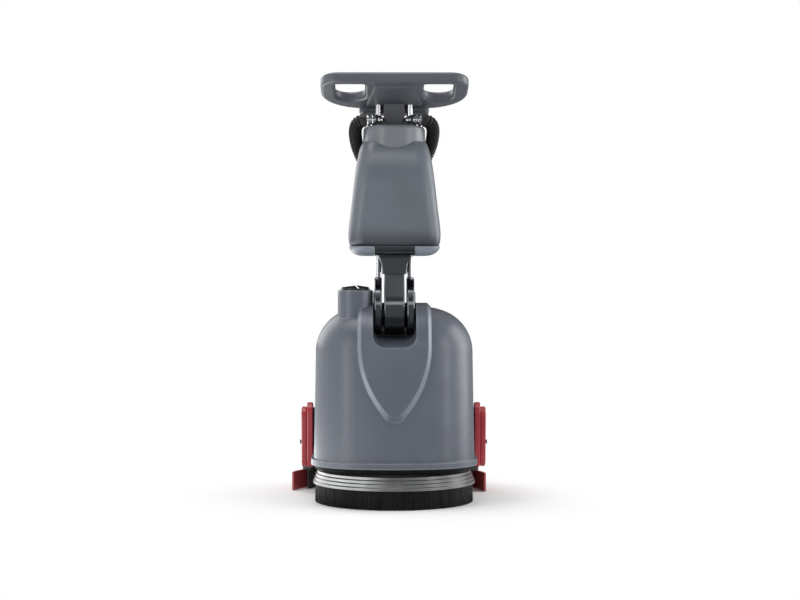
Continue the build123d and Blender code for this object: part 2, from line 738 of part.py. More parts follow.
# Wheels on a fixed axle
with BuildPart() as axle:
    with BuildSketch(cheek_plane(-AXLE_HALF)):
        with Locations((WHEEL_Y, WHEEL_R)):
            Circle(AXLE_R)
    extrude(amount=2 * AXLE_HALF)
    chamfer(axle.edges().filter_by(GeomType.CIRCLE), length=0.8)
keep(axle, "axle")

with BuildPart() as axle_nuts:
    for side in (-1, 1):
        with BuildSketch(cheek_plane(side * (WHEEL_OUT + 3))):
            with Locations((WHEEL_Y, WHEEL_R)):
                RegularPolygon(NUT_R, 6)
                Circle(AXLE_R, mode=Mode.SUBTRACT)
        extrude(amount=2.4, both=True)
keep(axle_nuts, "axle_nuts")


def wheel(side, name):
    """A ribbed hub and its crowned tyre on one side."""
    middle = side * (WHEEL_IN + WHEEL_OUT) / 2
    half = (WHEEL_OUT - WHEEL_IN) / 2
    with BuildPart() as hub:
        with BuildSketch(cheek_plane(middle)):
            with Locations((WHEEL_Y, WHEEL_R)):
                Circle(WHEEL_HUB_R)
                Circle(AXLE_R + RUN_GAP, mode=Mode.SUBTRACT)
        extrude(amount=half, both=True)
        with BuildSketch(cheek_plane(side * WHEEL_OUT)):
            with Locations((WHEEL_Y, WHEEL_R)):
                Circle(WHEEL_HUB_R - 5)
                Circle(14, mode=Mode.SUBTRACT)
                with PolarLocations(0, 5):
                    Rectangle(2 * WHEEL_HUB_R, 5, mode=Mode.SUBTRACT)
        extrude(amount=-side * 9, mode=Mode.SUBTRACT)
    keep(hub, f"{name}_wheel_hub")
    with BuildPart() as tyre:
        with BuildSketch(cheek_plane(middle)):
            with Locations((WHEEL_Y, WHEEL_R)):
                Circle(WHEEL_R)
                Circle(WHEEL_HUB_R, mode=Mode.SUBTRACT)
        extrude(amount=half, both=True)
        fillet(circles(tyre, WHEEL_R - 1), radius=TYRE_EDGE)
    keep(tyre, f"{name}_wheel_tyre")


wheel(-1, "left")
wheel(1, "right")

# Hinge bracket: two thin cheeks outside the ears, on a curved foot against the pocket wall
foot_r = POCKET_R - FOOT_GAP
with BuildPart() as hinge_bracket:
    with BuildSketch(cheek_plane(0)):
        with BuildLine():
            under = CenterArc((HINGE_Y, HINGE_Z), foot_r, FOOT_START, FOOT_SPAN)
            over = CenterArc((HINGE_Y, HINGE_Z), foot_r - FOOT_SHEET, FOOT_START, FOOT_SPAN)
            Line(under @ 0, over @ 0)
            Line(under @ 1, over @ 1)
        make_face()
    extrude(amount=CHEEK_OUT, both=True)
    for side in (-1, 1):
        with BuildSketch(cheek_plane(side * (CHEEK_IN + CHEEK_OUT) / 2)):
            with BuildLine():
                edge = CenterArc((HINGE_Y, HINGE_Z), foot_r, CHEEK_START, CHEEK_SPAN)
                Line(edge @ 0, (HINGE_Y, HINGE_Z))
                Line(edge @ 1, (HINGE_Y, HINGE_Z))
            make_face()
            with Locations((HINGE_Y, HINGE_Z)):
                Circle(CHEEK_R)
                Circle(HINGE_BOLT_R, mode=Mode.SUBTRACT)
        extrude(amount=(CHEEK_OUT - CHEEK_IN) / 2, both=True)
keep(hinge_bracket, "hinge_bracket")

with BuildPart() as hinge_bolt:
    with BuildSketch(cheek_plane(0)):
        with Locations((HINGE_Y, HINGE_Z)):
            Circle(HINGE_BOLT_R)
    extrude(amount=CHEEK_OUT, both=True)
    chamfer(hinge_bolt.edges().filter_by(GeomType.CIRCLE), length=1.0)
keep(hinge_bolt, "hinge_bolt")

# Column: knuckle strap, flared collar, tube ears, chrome tubes and spine
with BuildPart() as knuckle:
    with BuildSketch(cheek_plane(0)):
        with Locations((HINGE_Y, HINGE_Z)):
            Circle(KNUCKLE_R)
        with Locations(((ARM_FRONT + ARM_REAR) / 2, COLLAR_BOTTOM)):
            Rectangle(ARM_REAR - ARM_FRONT, KNUCKLE_HALF, align=(Align.CENTER, Align.MAX))
        make_hull()
        with Locations((HINGE_Y, HINGE_Z)):
            Circle(HINGE_BOLT_R + RUN_GAP, mode=Mode.SUBTRACT)
    extrude(amount=KNUCKLE_HALF, both=True)
    fillet(circles(knuckle, KNUCKLE_R - 1), radius=EAR_EDGE)
keep(knuckle, "knuckle")

with BuildPart() as collar:
    with BuildSketch(Plane.XZ.offset(-ARM_REAR)):
        with BuildLine():
            sole = Line((0, COLLAR_BOTTOM), (COLLAR_LOW_HALF, COLLAR_BOTTOM))
            hip = (COLLAR_HIP_HALF, COLLAR_HIP)
            flare = ThreePointArc(sole @ 1, hip, (COLLAR_TOP_HALF, COLLAR_TOP))
            Line(flare @ 1, (0, COLLAR_TOP))
            mirror(about=Plane.YZ)
        make_face()
    extrude(amount=ARM_REAR - ARM_FRONT)
    fillet(collar.edges().group_by(Axis.Y)[0].filter_by(GeomType.CIRCLE), radius=3.0)
keep(collar, "column_collar")


def ear(side):
    """The round ear beside the hinge, with the socket that holds one chrome tube."""
    with BuildPart() as socket:
        with BuildSketch(cheek_plane(side * (EAR_IN + EAR_OUT) / 2)):
            with Locations((HINGE_Y, HINGE_Z)):
                Circle(KNUCKLE_R)
            with Locations((TUBE_Y, (HINGE_Z + EAR_TOP) / 2)):
                Rectangle(4 * TUBE_R, EAR_TOP - HINGE_Z)
            with Locations((HINGE_Y, HINGE_Z)):
                Circle(HINGE_BOLT_R + RUN_GAP, mode=Mode.SUBTRACT)
        extrude(amount=(EAR_OUT - EAR_IN) / 2, both=True)
        fillet(outer_edges(socket), radius=EAR_EDGE)
        with Locations((side * TUBE_X, TUBE_Y, TUBE_BOTTOM)):
            Cylinder(
                TUBE_R, 100, align=(Align.CENTER, Align.CENTER, Align.MIN), mode=Mode.SUBTRACT
            )
    return socket.part


with BuildPart() as tube_sockets:
    add(ear(-1))
    add(ear(1))
keep(tube_sockets, "tube_sockets")

with BuildPart() as column_tubes:
    with Locations((-TUBE_X, TUBE_Y, TUBE_BOTTOM), (TUBE_X, TUBE_Y, TUBE_BOTTOM)):
        Cylinder(TUBE_R, TUBE_TOP - TUBE_BOTTOM, align=(Align.CENTER, Align.CENTER, Align.MIN))
    chamfer(column_tubes.edges().filter_by(GeomType.CIRCLE), length=0.8)
keep(column_tubes, "column_tubes")

with BuildPart() as spine:
    with Locations((0, SPINE_FRONT, SPINE_BOTTOM)):
        Box(
            2 * SPINE_HALF,
            SPINE_DEEP,
            SPINE_TOP - SPINE_BOTTOM,
            align=(Align.CENTER, Align.MIN, Align.MIN),
        )
    fillet(spine.edges().filter_by(Axis.Z), radius=4.0)
keep(spine, "column_spine")

with BuildPart() as tank_rail:
    with Locations((0, SPINE_FRONT, COLLAR_TOP)):
        Box(
            2 * RAIL_HALF,
            SPINE_FRONT - RAIL_FRONT,
            RTANK_RIM_TOP - RAIL_GAP - COLLAR_TOP,
            align=(Align.CENTER, Align.MAX, Align.MIN),
        )
    fillet(tank_rail.edges().group_by(Axis.Y)[0].group_by(Axis.Z)[0], radius=RAIL_ROLL)
keep(tank_rail, "tank_rail")

with BuildPart() as hose_clip:
    with BuildSketch(Plane.XY.offset(CLIP_Z)):
        with Locations((0, HOSE_FRONT_Y), (0, HOSE_BACK_Y)):
            Circle(HOSE_R + CLIP_WALL)
        with Locations((0, (HOSE_FRONT_Y + HOSE_BACK_Y) / 2)):
            Rectangle(2 * (HOSE_R + CLIP_WALL), HOSE_BACK_Y - HOSE_FRONT_Y)
        with Locations((0, SPINE_FRONT + SPINE_DEEP)):
            Rectangle(2 * SPINE_HALF, CLIP_PLATE, align=(Align.CENTER, Align.MIN))
        with Locations((0, HOSE_FRONT_Y), (0, HOSE_BACK_Y)):
            Circle(HOSE_R + CLIP_GAP, mode=Mode.SUBTRACT)
    extrude(amount=CLIP_HIGH / 2, both=True)
keep(hose_clip, "hose_clip")

# Recovery tank: a tapered saddle tank on its rail, with a neck inside the lid


def tank_skin(inset):
    """The rounded, tapering outside of the recovery tank, or its inside."""
    with BuildPart() as skin:
        for height, wide, deep, corner in RTANK_SECTIONS:
            with BuildSketch(Plane.XY.offset(height)):
                with Locations((0, RTANK_REAR - deep / 2)):
                    RectangleRounded(wide - 2 * inset, deep - 2 * inset, corner - inset)
        loft()
    return skin.part


def tank_rim():
    """The foot of the tank, rolled in along a quarter of an ellipse towards its bottom."""
    with BuildPart() as rim:
        for turn in RTANK_ROLL_TURNS:
            height = RTANK_RIM_TOP - (RTANK_RIM_TOP - RTANK_BOTTOM) * cos(radians(turn))
            roll = RTANK_ROLL * (1.0 - sin(radians(turn)))
            deep = RTANK_RIM_DEEP - roll
            with BuildSketch(Plane.XY.offset(height)):
                with Locations((0, RTANK_REAR - deep / 2)):
                    RectangleRounded(RTANK_RIM_WIDE - 2 * roll, deep, RTANK_RIM_CORNER - roll / 2)
        loft(ruled=True)
    return rim.part


def lid_outline(plane, inset):
    """A round nose with straight sides, seen from above."""
    with BuildSketch(plane) as outline:
        with BuildLine():
            nose = CenterArc((0, LID_CENTRE_Y), LID_HALF, 180, 180)
            side = Line(nose @ 1, (LID_HALF, RTANK_REAR - LID_CORNER))
            turn = JernArc(side @ 1, (0, 1), LID_CORNER, 90)
            tail = Line(turn @ 1, (-LID_HALF + LID_CORNER, RTANK_REAR))
            other = JernArc(tail @ 1, (-1, 0), LID_CORNER, 90)
            Line(other @ 1, nose @ 0)
        make_face()
        if inset:
            offset(amount=-inset)
    return outline.sketch


def channel(spare):
    """The slot behind the tank and lid that straddles the column."""
    with BuildPart() as slot:
        with Locations((0, CHANNEL_FRONT - spare, RTANK_BOTTOM - 50)):
            Box(
                2 * (CHANNEL_HALF + spare), 200, 500, align=(Align.CENTER, Align.MIN, Align.MIN)
            )
    return slot.part


tank_outer = tank_skin(0.0)
lid_lean = (LID_TOP - LID_SKIRT) * tan(radians(LID_DRAFT))
lid_inset = LID_WALL + lid_lean
with BuildPart() as tank_inside:
    add(tank_skin(RTANK_WALL))
    with Locations((0, RTANK_REAR, RTANK_RIM_TOP)):
        Box(600, 600, 2 * RTANK_WALL, mode=Mode.SUBTRACT)
    add(channel(RTANK_WALL), mode=Mode.SUBTRACT)

with BuildPart() as recovery_tank:
    add(tank_outer)
    add(tank_rim())
    add(lid_outline(Plane.XY.offset(RTANK_NECK - NECK_SUNK), lid_inset + NECK_GAP))
    extrude(amount=LID_TOP - LID_WALL - SEAL_HIGH - RTANK_NECK + NECK_SUNK, dir=(0, 0, 1))
    add(lid_outline(Plane.XY.offset(RTANK_NECK - NECK_SUNK), lid_inset + NECK_GAP + LID_WALL))
    extrude(amount=LID_TOP - RTANK_NECK + NECK_SUNK, mode=Mode.SUBTRACT, dir=(0, 0, 1))
    add(tank_inside.part, mode=Mode.SUBTRACT)
    add(channel(0.0), mode=Mode.SUBTRACT)
    with Locations((0, RTANK_REAR, RTANK_BOTTOM)):
        Box(2 * (RAIL_HALF + RAIL_GAP), 600, 2 * (RTANK_RIM_TOP - RTANK_BOTTOM), mode=Mode.SUBTRACT)
keep(recovery_tank, "recovery_tank")

with BuildPart() as tank_lid:
    add(lid_outline(Plane.XY.offset(LID_SKIRT), 0.0))
    extrude(amount=LID_TOP - LID_SKIRT, taper=LID_DRAFT, dir=(0, 0, 1))
    fillet(tank_lid.faces().sort_by(Axis.Z)[-1].edges(), radius=LID_EDGE)
    add(lid_outline(Plane.XY.offset(LID_SKIRT), lid_inset))
    extrude(amount=LID_TOP - LID_WALL - LID_SKIRT, mode=Mode.SUBTRACT, dir=(0, 0, 1))
    add(tank_outer, mode=Mode.SUBTRACT)
    add(channel(0.0), mode=Mode.SUBTRACT)
    with Locations((-DOCK_X, DOCK_Y, LID_TOP), (DOCK_X, DOCK_Y, LID_TOP)):
        Cylinder(SEAL_R, 20, mode=Mode.SUBTRACT)
keep(tank_lid, "tank_lid")

with BuildPart() as dock_seals:
    with BuildSketch(Plane.XY.offset(LID_TOP - LID_WALL)):
        with Locations((-DOCK_X, DOCK_Y), (DOCK_X, DOCK_Y)):
            Circle(SEAL_R)
            Circle(SEAL_R - 5, mode=Mode.SUBTRACT)
    extrude(amount=LID_WALL)
keep(dock_seals, "dock_seals")

# Suction manifold above the lid: a plate with two elbows, and their chrome fittings
manifold_foot = LID_TOP + DOCK_GAP


def elbow(side, radius):
    """A quarter bend up from the plate and out to one hose fitting."""
    bend = ELBOW_Z - manifold_foot
    with BuildPart() as pipe:
        with BuildLine(Plane.XZ.offset(-DOCK_Y)) as route:
            quarter = JernArc((side * DOCK_X, manifold_foot), (0, 1), bend, -90 * side)
            Line(quarter @ 1, (side * FITTING_IN, ELBOW_Z))
        with BuildSketch(Plane.XY.offset(manifold_foot)):
            with Locations((side * DOCK_X, DOCK_Y)):
                Circle(radius)
        sweep(path=route.wires()[0])
    return pipe.part


with BuildPart() as manifold:
    with BuildSketch(Plane.XY.offset(manifold_foot)):
        with Locations((0, SPINE_FRONT)):
            Rectangle(2 * DOCK_HALF, SPINE_FRONT - DOCK_Y + 20, align=(Align.CENTER, Align.MAX))
    extrude(amount=DOCK_PLATE)
    fillet(manifold.edges().filter_by(Axis.Z).group_by(Axis.Y)[0], radius=8.0)
    add([elbow(side, ELBOW_R) for side in (-1, 1)])
    add([elbow(side, ELBOW_BORE) for side in (-1, 1)], mode=Mode.SUBTRACT)
keep(manifold, "suction_manifold")

with BuildPart() as hose_fittings:
    for side in (-1, 1):
        with BuildSketch(cheek_plane(side * FITTING_IN)):
            with Locations((DOCK_Y, ELBOW_Z)):
                Circle(ELBOW_BORE + 0.8)
                Circle(ELBOW_BORE - 1.5, mode=Mode.SUBTRACT)
        extrude(amount=side * (FITTING_OUT - FITTING_IN))
        for start, long in ((FITTING_IN + 0.5, 6.0), (FITTING_OUT - 9.0, 9.0)):
            with BuildSketch(cheek_plane(side * start)):
                with Locations((DOCK_Y, ELBOW_Z)):
                    Circle(ELBOW_R - 0.4)
                    Circle(ELBOW_BORE, mode=Mode.SUBTRACT)
            extrude(amount=side * long)
    fillet(circles(hose_fittings, ELBOW_R - 0.5), radius=1.2)
keep(hose_fittings, "hose_fittings")

# Ribbed hoses


def ribbed_hose(name, points, bends):
    """A ribbed hose along straight runs and bends: ruled rings outside, a plain bore inside."""
    with BuildLine() as route:
        FilletPolyline(*points, radius=bends)
    line = route.wires()[0]
    count = round(line.length / HOSE_PITCH)

    def ring(spot, radius):
        """One circle square to the route, turned the same way all along it."""
        steady = Plane(line.position_at(spot), HOSE_STEADY, line.tangent_at(spot))
        return Wire.make_circle(radius, steady)

    shares = [((rib + share) / count, r) for rib in range(count) for share, r in HOSE_RINGS]
    outside = [ring(spot, r) for spot, r in shares] + [ring(1.0, HOSE_GROOVE_R)]
    inside = [ring(rib / count, HOSE_BORE_R) for rib in range(count + 1)]
    faces = Shell.make_loft(outside, ruled=True).faces()
    faces += Shell.make_loft(inside, ruled=True).faces()
    faces += [Face(outside[end], [inside[end]]) for end in (0, -1)]
    with BuildPart() as hose:
        add(Solid(Shell(faces)))
    print(name, "route", round(line.length), "mm,", count, "ribs")
    keep(hose, name)


def upper_route(side, lane):
    """The corners from a fitting round the lid, behind the tank and down one lane of the clip."""
    return [
        (side * FITTING_OUT, DOCK_Y, ELBOW_Z),
        (side * HOSE_OUT, DOCK_Y, ELBOW_Z),
        (side * (HOSE_OUT - 2), HOSE_FRONT_Y - 2, ELBOW_Z - 52),
        (side * HOSE_WAIST, (HOSE_FRONT_Y + lane) / 2 + 8, ELBOW_Z - 110),
        (0, lane, CLIP_Z + 52),
    ]


UPPER_BENDS = [22, 40, 60, 60]
ribbed_hose(
    "suction_hose",
    upper_route(-1, HOSE_BACK_Y)
    + [
        (0, HOSE_BACK_Y, CLIP_Z - 46),
        (0, PORT_Y + 6, CLIP_Z - 70),
        (0, REST_Y - 48, REST_Z),
        (0, REST_Y, REST_Z),
    ],
    UPPER_BENDS + [45, 60, 50],
)
ribbed_hose(
    "vacuum_hose",
    upper_route(1, HOSE_FRONT_Y)
    + [
        (0, HOSE_FRONT_Y, CLIP_Z - 46),
        (0, HOSE_FRONT_Y + 34, PORT_TOP + 56),
        (0, PORT_Y, PORT_TOP + 44),
        (0, PORT_Y, PORT_TOP),
    ],
    UPPER_BENDS + [60, 60, 28],
)
ribbed_hose(
    "squeegee_hose",
    [
        (0, REST_Y, REST_Z),
        (0, REST_Y + 70, REST_Z),
        (0, SWIVEL_Y + 3, REST_Z - 100),
        (0, SWIVEL_Y, SUCTION_TOP + 100),
        (0, SWIVEL_Y, SUCTION_TOP),
    ],
    [70, 70, 80],
)

# Handle: a tilted plate with two grip openings, a shallow belly and a deep rear box
tilt = radians(HANDLE_TILT)
handle_plane = Plane(
    origin=(0, HANDLE_FRONT_Y, HANDLE_FRONT_Z), x_dir=(1, 0, 0), z_dir=(0, sin(tilt), cos(tilt))
)
handle_up = Axis((0, 0, 0), (0, sin(tilt), cos(tilt)))
with BuildPart() as handle_frame:
    with BuildSketch(handle_plane) as plate:
        with Locations((0, HANDLE_DEEP / 2)):
            Rectangle(2 * HANDLE_HALF, HANDLE_DEEP)
        fillet(plate.vertices().sort_by(Axis.Y)[:2], radius=HANDLE_FRONT_CORNER)
        fillet(plate.vertices().sort_by(Axis.Y)[-2:], radius=HANDLE_REAR_CORNER)
    extrude(amount=HANDLE_THICK)
    with BuildSketch(handle_plane) as grips:
        with Locations((-GRIP_X, GRIP_BAR + GRIP_DEEP / 2), (GRIP_X, GRIP_BAR + GRIP_DEEP / 2)):
            Rectangle(GRIP_WIDE, GRIP_DEEP)
        fillet(grips.vertices().sort_by(Axis.Y)[:4], radius=GRIP_CORNER)
        fillet(grips.vertices().sort_by(Axis.Y)[-4:], radius=GRIP_WIDE / 2 - 1)
    extrude(amount=HANDLE_THICK, mode=Mode.SUBTRACT)
    faces = handle_frame.faces().filter_by(handle_up)
    fillet(faces.edges(), radius=HANDLE_EDGE)
    with BuildSketch(handle_plane) as belly:
        with BuildLine():
            near = Line((0, BELLY_START), (BELLY_FRONT_HALF, BELLY_START))
            slant = Line(near @ 1, (BELLY_REAR_HALF, HANDLE_DEEP - POD_DEEP))
            Line(slant @ 1, (0, HANDLE_DEEP - POD_DEEP))
            mirror(about=Plane.YZ)
        make_face()
    extrude(amount=-BELLY_DROP, taper=BELLY_DRAFT)
    with BuildSketch(handle_plane.offset(HANDLE_THICK / 2)) as rear_box:
        with Locations((0, HANDLE_DEEP - POD_BACK)):
            RectangleRounded(2 * POD_REAR_HALF, POD_DEEP, POD_CORNER)
    extrude(amount=-POD_DROP - HANDLE_THICK / 2)
    low = handle_frame.faces().sort_by(handle_up)[0].edges()
    fillet(low, radius=POD_EDGE)
    with Locations((-TUBE_X, TUBE_Y, TUBE_TOP), (TUBE_X, TUBE_Y, TUBE_TOP)):
        Cylinder(TUBE_R, 80, align=(Align.CENTER, Align.CENTER, Align.MAX), mode=Mode.SUBTRACT)
    with Locations((0, SPINE_FRONT, SPINE_BOTTOM)):
        Box(
            2 * SPINE_HALF,
            SPINE_DEEP,
            SPINE_TOP - SPINE_BOTTOM,
            align=(Align.CENTER, Align.MIN, Align.MIN),
            mode=Mode.SUBTRACT,
        )
keep(handle_frame, "handle_frame")

console_top = handle_plane.offset(HANDLE_THICK + CONSOLE_HIGH)
button_spots = [(step * BUTTON_STEP, BUTTON_V) for step in (-1, 0, 1)]
with BuildPart() as console_cover:
    with BuildSketch(handle_plane.offset(HANDLE_THICK)):
        with Locations((0, (CONSOLE_START + CONSOLE_END) / 2)):
            RectangleRounded(2 * CONSOLE_HALF, CONSOLE_END - CONSOLE_START, CONSOLE_CORNER)
    extrude(amount=CONSOLE_HIGH, taper=CONSOLE_DRAFT)
    fillet(console_cover.faces().sort_by(handle_up)[-1].edges(), radius=CONSOLE_EDGE)
    with BuildSketch(console_top):
        with Locations(*button_spots):
            Circle(BUTTON_R + BUTTON_GAP)
        with Locations((KEY_X, KEY_V)):
            Circle(KEY_R + 2 * RUN_GAP)
    extrude(amount=-BUTTON_SINK - BUTTON_TRAVEL, mode=Mode.SUBTRACT)
    with BuildSketch(console_top):
        with Locations((-KEY_X, KEY_V)):
            RectangleRounded(GAUGE_WIDE, GAUGE_HIGH, GAUGE_CORNER)
    extrude(amount=-GAUGE_SINK, mode=Mode.SUBTRACT)
keep(console_cover, "console_cover")

with BuildPart() as battery_gauge:
    with BuildSketch(console_top.offset(-GAUGE_SINK)):
        with Locations((-KEY_X, KEY_V)):
            RectangleRounded(GAUGE_WIDE, GAUGE_HIGH, GAUGE_CORNER)
    extrude(amount=GAUGE_SINK + GAUGE_PROUD)
keep(battery_gauge, "battery_gauge")

for spot, name in zip(button_spots, ("brush_button", "vacuum_button", "water_button")):
    with BuildPart() as button:
        with BuildSketch(console_top.offset(-BUTTON_SINK)):
            with Locations(spot):
                Circle(BUTTON_R)
        extrude(amount=BUTTON_SINK + BUTTON_PROUD)
        fillet(button.faces().sort_by(handle_up)[-1].edges(), radius=BUTTON_EDGE)
    keep(button, name)

with BuildPart() as key_switch:
    with BuildSketch(console_top.offset(-BUTTON_SINK)):
        with Locations((KEY_X, KEY_V)):
            Circle(KEY_R)
    extrude(amount=BUTTON_SINK + KEY_PROUD)
    with BuildSketch(console_top.offset(KEY_PROUD)):
        with Locations((KEY_X, KEY_V)):
            RectangleRounded(KEY_BOW_WIDE, 2 * KEY_R - 2, 1.5)
    extrude(amount=KEY_BOW)
keep(key_switch, "key_switch")

# Squeegee lifting frame on the two red side plates


def side_plate(side, name):
    """The fixed red cheek, on two bosses that seat on the side of the body."""
    with BuildPart() as plate:
        with BuildSketch(cheek_plane(side * PLATE_IN)):
            with Locations((LIFT_Y - 14, PLATE_TOP - PLATE_END_R), (LIFT_Y - 4, PLATE_BOTTOM + PLATE_END_R)):
                Circle(PLATE_END_R)
            with Locations((LIFT_Y + 4, LIFT_Z + 4)):
                Circle(PLATE_BELLY_R)
            make_hull()
        extrude(amount=side * (PLATE_OUT - PLATE_IN))
        fillet(outer_edges(plate), radius=PLATE_EDGE)
        with BuildSketch(cheek_plane(side * (PLATE_IN + PLATE_EDGE))):
            with Locations(*[(LIFT_Y - 6, LIFT_Z + rise) for rise in BOSS_RISES]):
                Circle(BOSS_R)
        extrude(amount=side * (BODY_HALF - PLATE_IN - 2 * PLATE_EDGE))
        add(body_outer, mode=Mode.SUBTRACT)
        with BuildSketch(cheek_plane(side * PLATE_IN)):
            with Locations((LIFT_Y, LIFT_Z)):
                Circle(LIFT_BOLT_R)
        extrude(amount=side * (PLATE_OUT - PLATE_IN), mode=Mode.SUBTRACT)
    keep(plate, f"{name}_side_plate")


def lift_arm(side, name):
    """The moving red arm: a tall lobe at the pivot and a tail back to the cross bar."""
    with BuildPart() as arm:
        with BuildSketch(cheek_plane(side * ARM_IN)) as shape:
            with Locations((LIFT_Y - 12, ARM_TOP - ARM_END_R), (LIFT_Y, ARM_BOTTOM + ARM_END_R)):
                Circle(ARM_END_R)
            with Locations((LIFT_Y + 6, LIFT_Z + 4)):
                Circle(ARM_BELLY_R)
            make_hull()
            with BuildSketch(mode=Mode.PRIVATE) as tail:
                with Locations((LIFT_Y + 4, LIFT_Z - 10)):
                    Circle(ARM_BELLY_R - 2)
                with Locations((SWIVEL_Y, BAR_Z)):
                    Circle(ARM_TAIL_R)
                make_hull()
            add(tail.sketch)
            with Locations((LIFT_Y, LIFT_Z)):
                Circle(LIFT_BOLT_R + RUN_GAP, mode=Mode.SUBTRACT)
        extrude(amount=side * (ARM_OUT - ARM_IN))
        fillet(outer_edges(arm), radius=PLATE_EDGE)
    keep(arm, f"{name}_lift_arm")


side_plate(-1, "left")
side_plate(1, "right")
lift_arm(-1, "left")
lift_arm(1, "right")

with BuildPart() as lift_bolts:
    for side in (-1, 1):
        with BuildSketch(cheek_plane(side * PLATE_IN)):
            with Locations((LIFT_Y, LIFT_Z)):
                Circle(LIFT_BOLT_R)
        extrude(amount=side * (ARM_OUT + LIFT_WASHER - PLATE_IN))
        with BuildSketch(cheek_plane(side * (ARM_OUT + LIFT_WASHER))):
            with Locations((LIFT_Y, LIFT_Z)):
                RegularPolygon(LIFT_HEAD_R, 6)
        extrude(amount=side * LIFT_HEAD)
keep(lift_bolts, "lift_bolts")

with BuildPart() as cross_bar:
    with BuildSketch(cheek_plane(-ARM_IN)):
        with Locations((SWIVEL_Y, BAR_Z)):
            Circle(BAR_R)
    extrude(amount=2 * ARM_IN)
    with Locations((0, SWIVEL_Y, SQUEEGEE_TOP + SQUEEGEE_PLAY)):
        Cylinder(SUCTION_R + 8, BAR_SLEEVE, align=(Align.CENTER, Align.CENTER, Align.MIN))
        Cylinder(SUCTION_R, 200, mode=Mode.SUBTRACT)
keep(cross_bar, "cross_bar")

with BuildPart() as suction_pipe:
    with Locations((0, SWIVEL_Y, SQUEEGEE_BOTTOM + SQUEEGEE_PLAY)):
        Cylinder(
            SUCTION_R,
            SUCTION_TOP - SQUEEGEE_BOTTOM - SQUEEGEE_PLAY,
            align=(Align.CENTER, Align.CENTER, Align.MIN),
        )
        Cylinder(PIPE_FLANGE_R, PIPE_FLANGE, align=(Align.CENTER, Align.CENTER, Align.MIN))
        Cylinder(HOSE_BORE_R, 400, mode=Mode.SUBTRACT)
keep(suction_pipe, "suction_pipe")

# Squeegee: a curved carrier with two blades, standing a little turned on its pipe
swing = radians(SQUEEGEE_SWING)
swivel_plane = Plane(origin=(0, SWIVEL_Y, 0), x_dir=(cos(swing), sin(swing), 0), z_dir=(0, 0, 1))


def curved_band(height, radius, half, angle):
    """A strip of a circle round the front of the machine, drawn in the squeegee's own frame."""
    centre = (0, -SQUEEGEE_R)
    with BuildSketch(swivel_plane.offset(height)) as band:
        with BuildLine():
            far = CenterArc(centre, radius + half, 90 - angle, 2 * angle)
            near = CenterArc(centre, radius - half, 90 - angle, 2 * angle)
            Line(far @ 0, near @ 0)
            Line(far @ 1, near @ 1)
        make_face()
    return band.sketch


with BuildPart() as squeegee_body:
    add(curved_band(SQUEEGEE_BOTTOM, SQUEEGEE_R, SQUEEGEE_HALF, SQUEEGEE_ANGLE))
    extrude(amount=SQUEEGEE_TOP - SQUEEGEE_BOTTOM, dir=(0, 0, 1))
    fillet(squeegee_body.edges().filter_by(Axis.Z), radius=SQUEEGEE_CORNER)
    with Locations((0, SWIVEL_Y, SQUEEGEE_BOTTOM)):
        Cylinder(
            PIPE_FLANGE_R + 8,
            SQUEEGEE_TOP - SQUEEGEE_BOTTOM,
            align=(Align.CENTER, Align.CENTER, Align.MIN),
        )
        Cylinder(SUCTION_R + RUN_GAP, 60, mode=Mode.SUBTRACT)
        Cylinder(PIPE_FLANGE_R + 0.4, 2 * (PIPE_FLANGE + 0.9), mode=Mode.SUBTRACT)
keep(squeegee_body, "squeegee_body")

with BuildPart() as front_blade:
    add(curved_band(BLADE_TIP, FRONT_BLADE_R, BLADE_THICK / 2, FRONT_BLADE_ANGLE))
    extrude(amount=SQUEEGEE_BOTTOM - BLADE_TIP, dir=(0, 0, 1))
keep(front_blade, "front_blade")

with BuildPart() as rear_blade:
    add(curved_band(BLADE_TIP, REAR_BLADE_R, BLADE_THICK / 2, REAR_BLADE_ANGLE))
    extrude(amount=SQUEEGEE_BOTTOM - BLADE_TIP, dir=(0, 0, 1))
keep(rear_blade, "rear_blade")

with BuildPart() as blade_straps:
    for radius, angle in (
        (FRONT_BLADE_R - BLADE_THICK / 2 - STRAP / 2 - STRAP_GAP, FRONT_BLADE_ANGLE - 2),
        (REAR_BLADE_R + BLADE_THICK / 2 + STRAP / 2 + STRAP_GAP, REAR_BLADE_ANGLE - 4),
    ):
        add(curved_band(SQUEEGEE_BOTTOM - STRAP_HIGH, radius, STRAP / 2, angle))
    extrude(amount=STRAP_HIGH, dir=(0, 0, 1))
keep(blade_straps, "blade_straps")

with BuildPart() as squeegee_knobs:
    with BuildSketch(swivel_plane.offset(SQUEEGEE_TOP)):
        with Locations((0, -SQUEEGEE_R)):
            for angle in KNOB_ANGLES:
                with PolarLocations(SQUEEGEE_R, 1, start_angle=90 + angle):
                    Circle(KNOB_R)
    extrude(amount=KNOB_HIGH)
    chamfer(squeegee_knobs.faces().group_by(Axis.Z)[-1].edges(), length=1.2)
keep(squeegee_knobs, "squeegee_knobs")

os.makedirs("parts", exist_ok=True)
for piece in finished:
    export_step(piece, f"parts/{piece.label}.step")
    print(piece.label, len(piece.solids()), piece.is_valid, piece.bounding_box())
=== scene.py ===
# %% [markdown]
# # A walk-behind floor scrubber
# The machine is a grey moulded base on a disc brush, with a leaning column that carries a recovery tank,
# two ribbed hoses and a tilted handle. The rigid pieces arrive as solids in one fixed frame, in metres.
# This lesson gives them their finishes and adds what solids are poor at: bristles, ribbed hoses,
# tyre treads, small screws, rings on the hose fittings and the marks on the console.

# %% Load the fixed frame
import math

